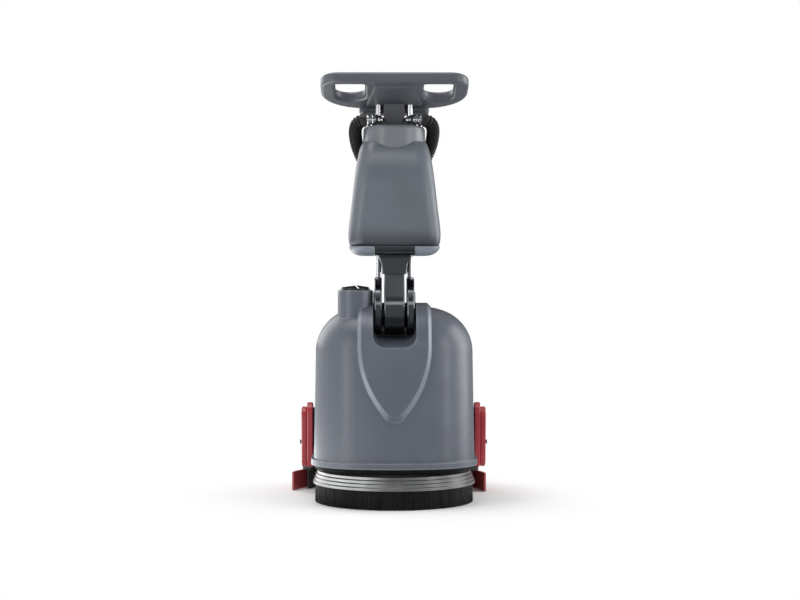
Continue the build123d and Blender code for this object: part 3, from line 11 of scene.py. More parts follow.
import bpy
import numpy as np
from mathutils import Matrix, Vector


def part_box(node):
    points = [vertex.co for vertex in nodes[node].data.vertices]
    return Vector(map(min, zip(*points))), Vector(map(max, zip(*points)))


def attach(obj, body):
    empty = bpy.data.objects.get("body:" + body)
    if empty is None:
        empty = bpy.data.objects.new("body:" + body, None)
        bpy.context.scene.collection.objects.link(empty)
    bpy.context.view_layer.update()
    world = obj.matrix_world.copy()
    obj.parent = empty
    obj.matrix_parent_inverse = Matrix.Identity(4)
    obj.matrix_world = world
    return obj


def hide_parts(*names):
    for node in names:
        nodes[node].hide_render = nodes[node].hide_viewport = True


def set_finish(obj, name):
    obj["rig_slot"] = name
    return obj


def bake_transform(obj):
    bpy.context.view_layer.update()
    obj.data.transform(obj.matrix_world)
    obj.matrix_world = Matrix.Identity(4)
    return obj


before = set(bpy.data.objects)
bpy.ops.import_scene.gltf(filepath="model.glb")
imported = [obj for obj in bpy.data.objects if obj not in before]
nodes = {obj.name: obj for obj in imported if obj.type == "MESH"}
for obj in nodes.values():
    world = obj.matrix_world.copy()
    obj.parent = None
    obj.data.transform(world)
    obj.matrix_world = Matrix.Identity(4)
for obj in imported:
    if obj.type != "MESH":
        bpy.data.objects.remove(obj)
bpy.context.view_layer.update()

MM = 0.001

# %% [markdown]
# ## The camera
# The photograph is taken straight from the front with a long lens, so the sides run nearly parallel.
# The lens is set from the focal length in pixels, and the horizon row and the machine's middle column
# become small lens shifts. A pitched camera would make the upright lines lean, so it stays level.

# %% Camera
PHOTO_WIDE = 800
PHOTO_HIGH = 600
FOCAL_PIXELS = 1584
HORIZON_ROW = 291
MIDDLE_COLUMN = 394.0
SENSOR_MM = 36.0
EYE_DISTANCE = 3.5
EYE_HEIGHT = 0.462
EYE_TURN = math.radians(0.5)
BRUSH_Y = -0.090


def level_camera():
    """A level camera on a circle round the brush axis, shifted so that the horizon falls on its row."""
    lens = bpy.data.cameras.new("photo_lens")
    lens.sensor_width = SENSOR_MM
    lens.lens = FOCAL_PIXELS / PHOTO_WIDE * SENSOR_MM
    lens.shift_x = (PHOTO_WIDE / 2 - MIDDLE_COLUMN) / PHOTO_WIDE
    lens.shift_y = (HORIZON_ROW - PHOTO_HIGH / 2) / PHOTO_WIDE
    eye = bpy.data.objects.new("photo_camera", lens)
    away = Vector((math.sin(EYE_TURN), math.cos(EYE_TURN), 0))
    eye.location = Vector((0, BRUSH_Y, EYE_HEIGHT)) - EYE_DISTANCE * away
    eye.rotation_euler = (math.pi / 2, 0, -EYE_TURN)
    bpy.context.scene.collection.objects.link(eye)
    bpy.context.scene.camera = eye
    return eye


eye = level_camera()
print("camera at", [round(x, 3) for x in eye.location])

# %% [markdown]
# ## Surfaces from grids
# Every new piece here is a grid of points: rings along one parameter, sides along the other.
# One function turns such a grid into quads, and another puts points and faces into a mesh. A small shape,
# such as a screw head, is worked out once and then copied to all its spots with one sum on arrays.

# %% Grid helpers


def full_turn(count):
    """Angles spaced evenly round a full turn, without the last that would repeat the first."""
    return np.linspace(0, 2 * np.pi, count, endpoint=False)


def unit(vectors):
    """Every row scaled to length one."""
    return vectors / np.linalg.norm(vectors, axis=1)[:, None]


def as_points(x, y, z):
    """Three arrays of coordinates, spread to one shape, as rows of points."""
    return np.stack(np.broadcast_arrays(x, y, z), axis=-1).reshape(-1, 3)


def ring_faces(rings, sides, closed=False):
    """Quads between neighbouring rings: ring r, side c is point r * sides + c, and the sides wrap round."""
    last = rings if closed else rings - 1
    r, c = np.meshgrid(np.arange(last), np.arange(sides), indexing="ij")
    low, high, turned = r * sides, ((r + 1) % rings) * sides, (c + 1) % sides
    return np.stack([low + c, low + turned, high + turned, high + c], axis=-1).reshape(-1, 4).tolist()


def end_caps(rings, sides):
    """One face over the first ring and one over the last, both looking outwards."""
    first = np.arange(sides)
    return [first[::-1].tolist(), (first + (rings - 1) * sides).tolist()]


def repeated(faces, count, size):
    """The same faces for each of several equal shapes, shifted to that shape's own points."""
    one = np.array(faces)
    starts = (np.arange(count) * size)[:, None, None]
    return (starts + one).reshape(-1, one.shape[1]).tolist()


def outward(points, faces):
    """The same faces, turned round if the solid's volume, summed from its face corners, is negative."""
    corner = np.array([face[:3] for face in faces])
    a, b, c = points[corner[:, 0]], points[corner[:, 1]], points[corner[:, 2]]
    volume = np.einsum("ij,ij->i", a - points.mean(axis=0), np.cross(b - a, c - a)).sum()
    return faces if volume > 0 else [face[::-1] for face in faces]


def make_mesh(name, points, faces, crease=40):
    """A smooth-shaded mesh object with sharp edges where faces meet at more than the crease angle."""
    mesh = bpy.data.meshes.new(name)
    mesh.from_pydata(points.tolist(), [], faces)
    mesh.shade_smooth()
    mesh.set_sharp_from_angle(angle=math.radians(crease))
    mesh.update()
    made = bpy.data.objects.new(name, mesh)
    bpy.context.scene.collection.objects.link(made)
    return made


def copies(shape, faces, spots, ups):
    """The shape at every spot: spot + x * across + y * along + z * up, with faces shifted per copy."""
    up = unit(np.array(ups))
    along = unit(np.cross(up, (1.0, 0.0, 0.0)))
    across = np.cross(along, up)
    axes = np.stack([across, along, up], axis=1)
    placed = np.asarray(spots)[:, None, :] + np.einsum("pk,skj->spj", shape, axes)
    starts = range(0, len(up) * len(shape), len(shape))
    return placed.reshape(-1, 3), [[i + start for i in face] for start in starts for face in faces]


def add_piece(piece, body, slot):
    """Puts a finished piece on its body and notes the slot that its finish comes from."""
    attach(piece, body)
    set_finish(piece, slot)
    extras.append(piece)
    print(piece.name, "faces", len(piece.data.polygons))


extras = []
print("grid helpers ready")

# %% [markdown]
# ## Ribbed hoses
# Two hoses leave the fittings above the tank, turn down behind it and run through a clip to the base.
# A third drops from the rest on the rear cover to the squeegee. Each follows a smooth line whose control
# points are the hose's route. The wall is a ring carried along that line: its radius rises and falls
# once for every rib, and the bore is a second skin inside, so that the ends show a real wall.

# %% Hose routes
FITTING_Y = -156.0
FITTING_Z = 832.0
SUCTION_LANE = -56.0
VACUUM_LANE = -92.0


def upper_route(side, lane):
    """From a fitting out to the side, then down and in behind the tank to its lane, in millimetres."""
    return [
        (side * 61, FITTING_Y, FITTING_Z),
        (side * 86, FITTING_Y, FITTING_Z),
        (side * 84, -94, 780),
        (side * 52, (lane + VACUUM_LANE) / 2 + 8, 722),
        (0, lane, 650),
    ]


SUCTION_END = [(0, SUCTION_LANE, 552), (0, 14, 528), (0, 72, 450), (0, 120, 450)]
VACUUM_END = [(0, VACUUM_LANE, 552), (0, -58, 496), (0, 8, 484), (0, 8, 440)]
HOSE_ROUTES = {
    "suction": upper_route(-1, SUCTION_LANE) + SUCTION_END,
    "vacuum": upper_route(1, VACUUM_LANE) + VACUUM_END,
    "squeegee": [(0, 120, 450), (0, 190, 450), (0, 238, 350), (0, 235, 240), (0, 235, 140)],
}
print("hose routes:", list(HOSE_ROUTES))

# %% Lines and rings
LINE_ORDER = 3
LINE_STEPS = 32
HOSE_SIDES = 36
HOSE_STEADY = np.array([0, 0.75, 0.66])


def smooth_line(name, route):
    """Points read from a NURBS line that has the route's points as its control points."""
    curve = bpy.data.curves.new(name, "CURVE")
    curve.dimensions = "3D"
    spline = curve.splines.new("NURBS")
    spline.points.add(len(route) - 1)
    spline.points.foreach_set("co", np.c_[np.array(route) * MM, np.ones(len(route))].ravel())
    spline.order_u = LINE_ORDER
    spline.use_endpoint_u = True
    spline.resolution_u = LINE_STEPS
    holder = bpy.data.objects.new(name, curve)
    bpy.context.scene.collection.objects.link(holder)
    bpy.context.view_layer.update()
    traced = bpy.data.meshes.new_from_object(holder)
    line = np.empty(len(traced.vertices) * 3)
    traced.vertices.foreach_get("co", line)
    bpy.data.objects.remove(holder)
    return line.reshape(-1, 3)


def evenly(line, step):
    """The same line with points at equal steps of its own length, and how far along each point lies."""
    along = np.r_[0, np.cumsum(np.linalg.norm(np.diff(line, axis=0), axis=1))]
    count = int(round(along[-1] / step)) + 1
    where = np.linspace(0, along[-1], count)
    return np.stack([np.interp(where, along, line[:, k]) for k in range(3)], axis=1), where


def rings_along(line, radius):
    """Circles square to a line: centre + radius * (cos a * n + sin a * b), n square to one direction."""
    tangent = unit(np.gradient(line, axis=0))
    n = unit(np.cross(tangent, HOSE_STEADY))
    b = np.cross(tangent, n)
    turn = full_turn(HOSE_SIDES)[None, :, None]
    spread = np.cos(turn) * n[:, None, :] + np.sin(turn) * b[:, None, :]
    return line[:, None, :] + np.asarray(radius)[:, None, None] * spread


print("line helpers ready")

# %% Ribbed walls
HOSE_R = 14.5 * MM
HOSE_GROOVE_R = 11.9 * MM
HOSE_BORE_R = 10.5 * MM
HOSE_PITCH = 5.6 * MM
HOSE_CUFF = 9 * MM
RIB_STEPS = 8
RIB_POWER = 1.1


def rib_rise(where):
    """From 0 in a groove to 1 on a rib: one raised wave per pitch, with plain cuffs at both ends."""
    wave = (0.5 - 0.5 * np.cos(2 * np.pi * where / HOSE_PITCH)) ** RIB_POWER
    cuff = (where < HOSE_CUFF) | (where > where[-1] - HOSE_CUFF)
    return np.where(cuff, 1.0, wave)


def ribbed_hose(name, route):
    """Outer ribbed skin out along the line and the bore back, closed into one wall."""
    line, where = evenly(smooth_line(name, route), HOSE_PITCH / RIB_STEPS)
    rise = rib_rise(where)
    outside = rings_along(line, HOSE_GROOVE_R + (HOSE_R - HOSE_GROOVE_R) * rise)
    inside = rings_along(line, np.full(len(line), HOSE_BORE_R))[::-1]
    skin = np.concatenate([outside, inside]).reshape(-1, 3)
    hose = make_mesh(name, skin, outward(skin, ring_faces(2 * len(line), HOSE_SIDES, closed=True)))
    height = hose.data.attributes.new("rib_height", "FLOAT", "POINT")
    height.data.foreach_set("value", np.repeat(np.r_[rise, 0 * rise], HOSE_SIDES).astype(np.float32))
    return hose, line, where[-1]


hoses = {}
for hose_name, route in HOSE_ROUTES.items():
    hose, line, length = ribbed_hose(hose_name + "_ribbed_hose", route)
    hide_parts(hose_name + "_hose")
    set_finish(hose, "hose_black")
    hoses[hose_name] = hose
    print(hose.name, "length", round(length, 3), "faces", len(hose.data.polygons))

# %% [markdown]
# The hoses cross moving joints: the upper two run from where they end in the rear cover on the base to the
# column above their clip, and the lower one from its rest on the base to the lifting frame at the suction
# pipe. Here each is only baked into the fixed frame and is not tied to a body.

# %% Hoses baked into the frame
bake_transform(hoses["suction"])
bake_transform(hoses["vacuum"])
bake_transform(hoses["squeegee"])

# %% [markdown]
# ## Bristles
# The disc brush has black nylon bristles: a dense skirt round the edge and rings of tufts inside it.
# A particle system could grow them, but strands worked out as one array keep their places, ride with the
# brush and stay few enough to export. Each strand is a thin four-sided stick with a slight outward bow.

# %% Where the strands stand
SKIRT_ROWS = ((172.7, 720), (171.2, 714), (169.6, 706), (167.8, 698), (165.6, 690))
SKIRT_HALF = 0.72 * MM
SKIRT_JITTER = 0.3
TUFT_ROWS = ((150.0, 96), (125.0, 80), (98.0, 62), (72.0, 46))
TUFT_STRANDS = 6
TUFT_SPREAD = 3.4 * MM
TUFT_HALF = 1.0 * MM
rng = np.random.default_rng(7)


def strand_roots():
    """Angle, radius and half width of every strand: even rows for the skirt, clusters for the tufts."""
    angle, radius, half = [], [], []
    for row_radius, count in SKIRT_ROWS:
        angle.append(full_turn(count) + rng.uniform(-SKIRT_JITTER, SKIRT_JITTER, count) * 2 * np.pi / count)
        radius.append(np.full(count, row_radius * MM))
        half.append(np.full(count, SKIRT_HALF))
    for row_radius, count in TUFT_ROWS:
        centre = np.repeat(full_turn(count), TUFT_STRANDS)
        around = np.tile(full_turn(TUFT_STRANDS), count)
        angle.append(centre + TUFT_SPREAD * np.cos(around) / (row_radius * MM))
        radius.append(row_radius * MM + TUFT_SPREAD * np.sin(around))
        half.append(np.full(len(centre), TUFT_HALF))
    return np.concatenate(angle), np.concatenate(radius), np.concatenate(half)


print("rows of strands:", len(SKIRT_ROWS) + len(TUFT_ROWS))

# %% Bristle strands
STRAND_ROOT = 45 * MM
STRAND_SIDES = 4
STRAND_DROPS = np.array([1.0, 0.5, 0.0])
STRAND_TAPER = 0.25
TIP_RANGE = (0.2, 1.6)
BOW_RANGE = (0.0, 1.2)
LEAN_SPREAD = 0.7


def bristle_strands():
    """Sticks from tip to root: radius = root radius + bow * drop^2, angle = root angle + lean * drop^2."""
    angle, radius, half = strand_roots()
    count = len(angle)
    tip = rng.uniform(*TIP_RANGE, count) * MM
    bow = rng.uniform(*BOW_RANGE, count) * MM
    lean = rng.normal(0, LEAN_SPREAD, count) * MM / radius
    height = STRAND_ROOT + (tip - STRAND_ROOT)[:, None] * STRAND_DROPS
    out = radius[:, None] + bow[:, None] * STRAND_DROPS**2
    turn = angle[:, None] + lean[:, None] * STRAND_DROPS**2
    square = np.pi / 4 + np.arange(STRAND_SIDES) * np.pi / 2
    taper = (half[:, None] * (1 - STRAND_TAPER * STRAND_DROPS))[:, :, None]
    across = out[:, :, None] + taper * np.cos(square)
    along = turn[:, :, None] + taper * np.sin(square) / out[:, :, None]
    points = as_points(across * np.cos(along), across * np.sin(along) + BRUSH_Y, height[:, :, None])
    rings = len(STRAND_DROPS)
    size = rings * STRAND_SIDES
    faces = repeated(ring_faces(rings, STRAND_SIDES) + end_caps(rings, STRAND_SIDES), count, size)
    strands = make_mesh("brush_strands", points, faces, crease=50)
    shade = strands.data.attributes.new("strand_shade", "FLOAT", "POINT")
    shade.data.foreach_set("value", np.repeat(rng.random(count), size).astype(np.float32))
    return strands


bristles = bristle_strands()
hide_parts("brush_bristles")
add_piece(bristles, "brush", "bristle_black")

# %% [markdown]
# ## Treaded tyres
# The two transport wheels run behind the brush on soft rubber tyres. A plain band would slip on a wet
# floor, so the tread has slanted grooves on both sides of a middle rib. The tyre is a closed profile
# turned round the axle, and the groove is taken off its radius as a function of angle and width.

# %% Tyres
WHEEL_Y = 114 * MM
WHEEL_R = 45 * MM
WHEEL_MID_X = 98 * MM
TYRE_HALF = 14 * MM
TYRE_EDGE = 6 * MM
TYRE_BORE_R = 33.05 * MM
TREAD_ACROSS = 8
SHOULDER_STEPS = 7
TREAD_LUGS = 34
TREAD_STEPS = 8
TREAD_DEPTH = 1.3 * MM
TREAD_SLANT = 0.9
GROOVE_HALF = 0.30
GROOVE_SOFT = 0.12
RIB_HALF = 0.10
RIB_SOFT = 0.06


def tyre_profile():
    """Across and radius round the tyre's section: tread, rounded shoulder, wall, bore and back again."""
    bend = np.linspace(0, np.pi / 2, SHOULDER_STEPS)
    flat = np.linspace(0, TYRE_HALF - TYRE_EDGE, TREAD_ACROSS + 1)[:-1]
    right_x = np.r_[flat, TYRE_HALF - TYRE_EDGE + TYRE_EDGE * np.sin(bend), TYRE_HALF]
    level = np.full(TREAD_ACROSS, WHEEL_R)
    right_r = np.r_[level, WHEEL_R - TYRE_EDGE + TYRE_EDGE * np.cos(bend), TYRE_BORE_R]
    return np.r_[right_x, -right_x[:0:-1]], np.r_[right_r, right_r[:0:-1]]


def tyre(name, side):
    """Profile turned round the axle, sunk where lugs * turns + slant * width is halfway between lugs."""
    across, radius = tyre_profile()
    turn = full_turn(TREAD_LUGS * TREAD_STEPS)[:, None]
    width = np.abs(across) / TYRE_HALF
    phase = (turn * TREAD_LUGS / (2 * np.pi) + TREAD_SLANT * width) % 1.0
    groove = np.clip((GROOVE_HALF - np.abs(phase - 0.5)) / GROOVE_SOFT, 0, 1)
    on_tread = np.clip((width - RIB_HALF) / RIB_SOFT, 0, 1) * (radius > WHEEL_R - TYRE_EDGE)
    r = radius - TREAD_DEPTH * groove * on_tread
    x = side * WHEEL_MID_X + across
    points = as_points(x, WHEEL_Y + r * np.cos(turn), WHEEL_R + r * np.sin(turn))
    faces = ring_faces(len(turn), len(across), closed=True)
    return make_mesh(name, points, outward(points, faces), crease=30)


for wheel, side in (("left", -1), ("right", 1)):
    treaded = tyre(wheel + "_treaded_tyre", side)
    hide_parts(wheel + "_wheel_tyre")
    add_piece(treaded, wheel + "_wheel", "tyre_rubber")

# %% [markdown]
# ## Screws
# The rear cover and the console are held by pan-head screws. Each head is a dome over rings of points,
# with a cross sunk into it where a point lies near one of two lines. A straight ray finds the surface
# under every screw, so that each head sits on what it holds and faces the same way.

# %% Screw heads
HEAD_RINGS = 15
HEAD_SIDES = 40
HEAD_MIDDLE = 0.05
HEAD_SKIRT = 0.4
DOME_FALL = 0.8
CROSS_HALF = 0.17
CROSS_HALF_SOFT = 0.07
CROSS_LONG = 0.66
CROSS_LONG_SOFT = 0.08


def seat(node, spot, towards):
    """Where a straight line from a spot first meets a node, and which way the surface faces there."""
    met, place, up, _ = nodes[node].ray_cast(Vector(spot), Vector(towards))
    if not met:
        raise ValueError("no seat on " + node)
    return np.array(place), np.array(up)


def screw_head(radius, high, sink):
    """Dome high * sqrt(1 - fall * s^2) over rings s, less a cross where a point is near one of two axes."""
    s = np.r_[1.0, np.linspace(1.0, HEAD_MIDDLE, HEAD_RINGS - 1)][:, None]
    turn = full_turn(HEAD_SIDES)
    beside = s * np.minimum(np.abs(np.cos(turn)), np.abs(np.sin(turn)))
    wide = np.clip((CROSS_HALF - beside) / CROSS_HALF_SOFT, 0, 1)
    long = np.clip((CROSS_LONG - s) / CROSS_LONG_SOFT, 0, 1)
    z = high * (np.sqrt(1 - DOME_FALL * s**2) - sink * (wide * long))
    z[0] = -HEAD_SKIRT * high
    points = as_points(radius * s * np.cos(turn), radius * s * np.sin(turn), z)
    return points, outward(points, ring_faces(HEAD_RINGS, HEAD_SIDES) + end_caps(HEAD_RINGS, HEAD_SIDES))


def screws(name, seats, radius, high, sink=0.6):
    """One mesh with a screw head on every seat, or with a plain dome if nothing is sunk."""
    spots, ups = zip(*seats)
    points, faces = copies(*screw_head(radius, high, sink), spots, ups)
    return make_mesh(name, points, faces, crease=35)


bpy.context.view_layer.update()
COVER_SCREWS = ((120, 190), (122, 265), (108, 340))
BEHIND = 0.6
cover_seats = [
    seat("rear_cover", (side * x * MM, BEHIND, z * MM), (0, -1, 0))
    for x, z in COVER_SCREWS
    for side in (-1, 1)
]
cover_screws = screws("cover_screws", cover_seats, radius=4.2 * MM, high=2.2 * MM)
add_piece(cover_screws, "base", "knob_steel")

# %% [markdown]
# ## Raised plates
# Thin plates with a closed outline come back in several places: pads behind the red side plates, marks on
# the buttons and bars in the gauge. An outline is a curve of one angle. The plate is that outline at two
# levels, with a wall between them and a face on each.

# %% Outlines
OUTLINE_POINTS = 40
OUTLINE_TURN = full_turn(OUTLINE_POINTS)


def oval(wide, high, power=2.0):
    """Rounded box: wide * sign(cos t) * |cos t|^(2 / power), and the same with sin for high."""
    c, s = np.cos(OUTLINE_TURN), np.sin(OUTLINE_TURN)
    x = np.sign(c) * np.abs(c) ** (2 / power)
    y = np.sign(s) * np.abs(s) ** (2 / power)
    return np.stack([wide * x, high * y], axis=1)


def drop_outline(wide, high):
    """Tear drop with its tip up: x = wide * sin t * sin(t / 2)^2, y = high * cos t."""
    x = wide * np.sin(OUTLINE_TURN) * np.sin(OUTLINE_TURN / 2) ** 2
    return np.stack([x, high * np.cos(OUTLINE_TURN)], axis=1)


def turned_round(outline, out, count):
    """The outline moved out along y and repeated round the middle."""
    angle = full_turn(count)[:, None]
    x, y = outline[:, 0], outline[:, 1] + out
    c, s = np.cos(angle), np.sin(angle)
    return list(np.stack([x * c - y * s, x * s + y * c], axis=-1))


def raised_plates(name, outlines, place, axes, low, high):
    """Every outline at two levels about its place: place + x * right + y * up + level * out."""
    right, up, out = np.array(axes, float)
    flat = MM * np.array(outlines)
    spread = flat[..., :1] * right + flat[..., 1:] * up
    levels = MM * np.array([low, high])[None, :, None, None] * out
    points = (place + spread[:, None] + levels).reshape(-1, 3)
    size = 2 * OUTLINE_POINTS
    walls = repeated(ring_faces(2, OUTLINE_POINTS), len(flat), size)
    ends = repeated(end_caps(2, OUTLINE_POINTS), len(flat), size)
    return make_mesh(name, points, outward(points, walls + ends), crease=30)


print("outlines ready")

# %% [markdown]
# ## Pads behind the side plates
# The red side plates stand off the body, and a dark strip fills the slit so that no light comes through; its
# dark colour is painted shade that stands in for the shade in the slit. A rounded box is enough of an
# outline, because only its front edge is ever seen.

# %% Pads
PAD_OUTLINE = oval(15, 47, 5.0)
PAD_MIDDLE = (0, 0.022, 0.150)
PAD_FOOT = 174.6
PAD_TOP = 183.2
for side, name in ((-1, "left"), (1, "right")):
    pad_axes = ((0, 1, 0), (0, 0, 1), (side, 0, 0))
    pad = raised_plates(name + "_plate_shade_pad", [PAD_OUTLINE], PAD_MIDDLE, pad_axes, PAD_FOOT, PAD_TOP)
    # the pad's dark colour is painted shade for the slit
    add_piece(pad, "base", "seal_rubber")

# %% [markdown]
# ## Rings on the hose fittings
# Polished rings hold each hose on its fitting, a black seal closes the joint to the elbow, and a round plug
# sits in the elbow's front. A ring is an oval section carried round the fitting's axis, so it is one grid
# that closes both ways. The plug is the screw's dome without its cross.

# %% Rings and seals
RING_SIDES = 48
RING_POWER = 3.0
FITTING_RINGS = {
    "fitting_rings": ("tube_chrome", (-55, -44.2, 44.2, 55), 4.0, 9.0, 12.6),
    "elbow_seals": ("seal_rubber", (-37.6, 37.6), 2.4, 10.0, 12.6),
}


def rings_round_fittings(name, middles, half, inner, outer):
    """x = middle + half * cos t, radius from inner to outer with sin t, carried round the fittings' axis."""
    section = MM * oval(half, (outer - inner) / 2, RING_POWER)
    around = full_turn(RING_SIDES)[:, None]
    radius = MM * (inner + outer) / 2 + section[:, 1]
    x = MM * np.array(middles)[:, None, None] + section[:, 0]
    y = MM * FITTING_Y + radius * np.cos(around)
    z = MM * FITTING_Z + radius * np.sin(around)
    points = as_points(x, y, z)
    one = ring_faces(RING_SIDES, OUTLINE_POINTS, closed=True)
    faces = repeated(one, len(middles), RING_SIDES * OUTLINE_POINTS)
    return make_mesh(name, points, outward(points, faces))


for name, (slot, *sizes) in FITTING_RINGS.items():
    add_piece(rings_round_fittings(name, *sizes), "column", slot)

# %% Plugs
PLUG_X = 30.3 * MM
AHEAD = -0.6
plug_starts = [(side * PLUG_X, AHEAD, FITTING_Z * MM) for side in (-1, 1)]
plug_seats = [seat("suction_manifold", start, (0, 1, 0)) for start in plug_starts]
plugs = screws("elbow_plugs", plug_seats, radius=5.5 * MM, high=4.5 * MM, sink=0.0)
add_piece(plugs, "column", "tube_chrome")

# %% [markdown]
# ## Console
# The console faces the person who walks behind the handle. It leans back with the handle, so its pieces
# are laid out on two directions in its own plane and lifted along a third. The screws, the bars of the
# battery gauge and the marks on the buttons all find their height with a ray onto what carries them.

# %% Console directions and screws
CONSOLE_UP = np.array([0.0, 0.211325, 0.977416])
CONSOLE_SIDE = np.array([1.0, 0.0, 0.0])
CONSOLE_BACK = np.cross(CONSOLE_UP, CONSOLE_SIDE)
CONSOLE_AXES = (CONSOLE_SIDE, -CONSOLE_BACK, CONSOLE_UP)
CONSOLE_SCREW_X = 49 * MM
CONSOLE_SCREW_Y = 53 * MM
ABOVE = 30 * MM


def console_middle(node):
    """The middle of a node's box, lifted clear of the console."""
    low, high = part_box(node)
    return (np.array(low) + np.array(high)) / 2 + ABOVE * CONSOLE_UP


def onto_console(node, start):
    """Seat on a node, straight down on to the console from a start above it."""
    return seat(node, start, -CONSOLE_UP)


console_start = console_middle("console_cover")
console_corners = [
    console_start + side * CONSOLE_SCREW_X * CONSOLE_SIDE + end * CONSOLE_SCREW_Y * CONSOLE_BACK
    for side in (-1, 1)
    for end in (-1, 1)
]
console_seats = [onto_console("console_cover", corner) for corner in console_corners]
console_screws = screws("console_screws", console_seats, radius=2.6 * MM, high=1.3 * MM)
add_piece(console_screws, "column", "knob_steel")

# %% [markdown]
# Each button carries a raised mark for what it starts: a round brush, a fan and a drop of water. The
# battery gauge has five bars of rising height. All are flat outlines lifted a little off what bears them,
# so that they catch the light as moulded marks do.

# %% Button marks
MARK_LIFT = 0.3
MARK_SINK = 0.3
BUTTON_MARKS = {
    "brush": turned_round(oval(0.6, 1.5), 5.2, 10) + [oval(2.3, 2.3)],
    "vacuum": turned_round(drop_outline(2.6, 2.7), 3.2, 3),
    "water": [drop_outline(4.6, 5.6)],
}
for button, outlines in BUTTON_MARKS.items():
    button_top, _ = onto_console(button + "_button", console_middle(button + "_button"))
    mark = raised_plates(button + "_mark", outlines, button_top, CONSOLE_AXES, -MARK_SINK, MARK_LIFT)
    add_piece(mark, button + "_button", "button_grey")

# %% Gauge bars
BAR_PLACES = (-2, -1, 0, 1, 2)
BAR_STEP = 5.4
BAR_HALF = 1.9
BAR_MIDDLE_HIGH = 3.7
BAR_RISE = 0.75
BAR_POWER = 5.0
gauge_top, _ = onto_console("battery_gauge", console_middle("battery_gauge"))
bars = [
    oval(BAR_HALF, BAR_MIDDLE_HIGH + BAR_RISE * k, BAR_POWER) + np.array([BAR_STEP * k, BAR_RISE * k])
    for k in BAR_PLACES
]
gauge_bars = raised_plates("gauge_bars", bars, gauge_top, CONSOLE_AXES, -MARK_SINK, MARK_LIFT)
add_piece(gauge_bars, "column", "button_green")

# %% [markdown]
# ## Charging pins
# Three contact pins stand at the bottom of the charging socket. Each is a profile turned round its own
# axis: a straight shank with a rounded tip. The same profile is copied to three spots on a circle.

# %% Pins
PIN_R = 1.4 * MM
PIN_LONG = 12 * MM
PIN_FOOT = 1 * MM
PIN_SIDES = 20
PIN_STEPS = 6
PIN_CLOSING = 0.94
PIN_CIRCLE = 4.4 * MM
PIN_TURN = np.radians([90, 210, 330])


def pin_shape():
    """Radius and height of a shank whose tip closes as a quarter circle, turned round the height."""
    tip = np.linspace(0, PIN_CLOSING * np.pi / 2, PIN_STEPS)
    r = np.r_[PIN_R, PIN_R * np.cos(tip)][:, None]
    z = np.r_[-PIN_FOOT, PIN_LONG - PIN_R + PIN_R * np.sin(tip)][:, None]
    around = full_turn(PIN_SIDES)
    points = as_points(r * np.cos(around), r * np.sin(around), z)
    return points, outward(points, ring_faces(len(r), PIN_SIDES) + end_caps(len(r), PIN_SIDES))


socket_low, socket_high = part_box("charge_socket")
pin_x = (socket_low[0] + socket_high[0]) / 2 + PIN_CIRCLE * np.cos(PIN_TURN)
pin_z = (socket_low[2] + socket_high[2]) / 2 + PIN_CIRCLE * np.sin(PIN_TURN)
pin_seats = [seat("charge_socket", (x, BEHIND, z), (0, -1, 0)) for x, z in zip(pin_x, pin_z)]
pin_spots, pin_ups = zip(*pin_seats)
charge_pins = make_mesh("charge_pins", *copies(*pin_shape(), pin_spots, pin_ups))
add_piece(charge_pins, "base", "knob_steel")

# %% [markdown]
# ## Shared surface effects
# Moulded plastic is never one flat colour: it has a fine grain, slow clouds of tone and patches that
# reflect a little more. Its corners are rounded by the mould and rubbed paler by use. These effects come
# back in most finishes, so each is a node group with named inputs, built once. A group only puts out
# colours, masks, heights and normals, and the shader stays outside.

# %% Node group helpers


class Wiring:
    """Adds nodes to a tree and joins their sockets, so that a finish reads top to bottom."""

    def __init__(self, tree):
        self.tree = tree

    def join(self, value, socket):
        """Links a socket to another, or sets it to a plain value."""
        if isinstance(value, bpy.types.NodeSocket):
            self.tree.links.new(value, socket)
        else:
            socket.default_value = value

    def add(self, kind, inputs=None, **settings):
        """A node with its settings; an input is a value, or a socket to link from."""
        node = self.tree.nodes.new(kind)
        for key, value in settings.items():
            setattr(node, key, value)
        for key, value in (inputs or {}).items():
            self.join(value, node.inputs[key])
        return node

    def math(self, operation, a, b=0.0, clamp=False):
        """One sum on two numbers."""
        return self.add("ShaderNodeMath", {0: a, 1: b}, operation=operation, use_clamp=clamp).outputs[0]

    def remap(self, value, low, high, to_low=0.0, to_high=1.0):
        """Stretches a value from one range to another and clamps it."""
        spread = {"Value": value, "From Min": low, "From Max": high, "To Min": to_low, "To Max": to_high}
        return self.add("ShaderNodeMapRange", spread).outputs["Result"]

    def fade(self, value, start, end, level=1.0):
        """Rises smoothly from 0 at the start to the level at the end."""
        spread = {"Value": value, "From Min": start, "From Max": end, "To Max": level}
        return self.add("ShaderNodeMapRange", spread, interpolation_type="SMOOTHSTEP").outputs["Result"]

    def mix(self, share, a, b):
        """A colour between two colours."""
        node = self.add("ShaderNodeMix", data_type="RGBA")
        for socket, value in ((node.inputs[0], share), (node.inputs[6], a), (node.inputs[7], b)):
            self.join(value, socket)
        return node.outputs[2]

    def noise(self, where, scale, detail=2.0, rough=0.5):
        """Noise at a place, as a value from 0 to 1."""
        inputs = {"Vector": where, "Scale": scale, "Detail": detail, "Roughness": rough}
        return self.add("ShaderNodeTexNoise", inputs).outputs["Fac"]

    def filled(self, tree, inputs):
        """The outputs of a shared group, placed with this finish's own values."""
        return self.add("ShaderNodeGroup", inputs, node_tree=tree).outputs


def new_group(name, inputs, outputs):
    """An empty node group with named sockets, its wiring, what it is given and what it puts out."""
    group = bpy.data.node_groups.new(name, "ShaderNodeTree")
    for label, kind in inputs:
        group.interface.new_socket(label, in_out="INPUT", socket_type="NodeSocket" + kind)
    for label, kind in outputs:
        group.interface.new_socket(label, in_out="OUTPUT", socket_type="NodeSocket" + kind)
    wiring = Wiring(group)
    return group, wiring, wiring.add("NodeGroupInput").outputs, wiring.add("NodeGroupOutput").inputs


print("wiring ready")

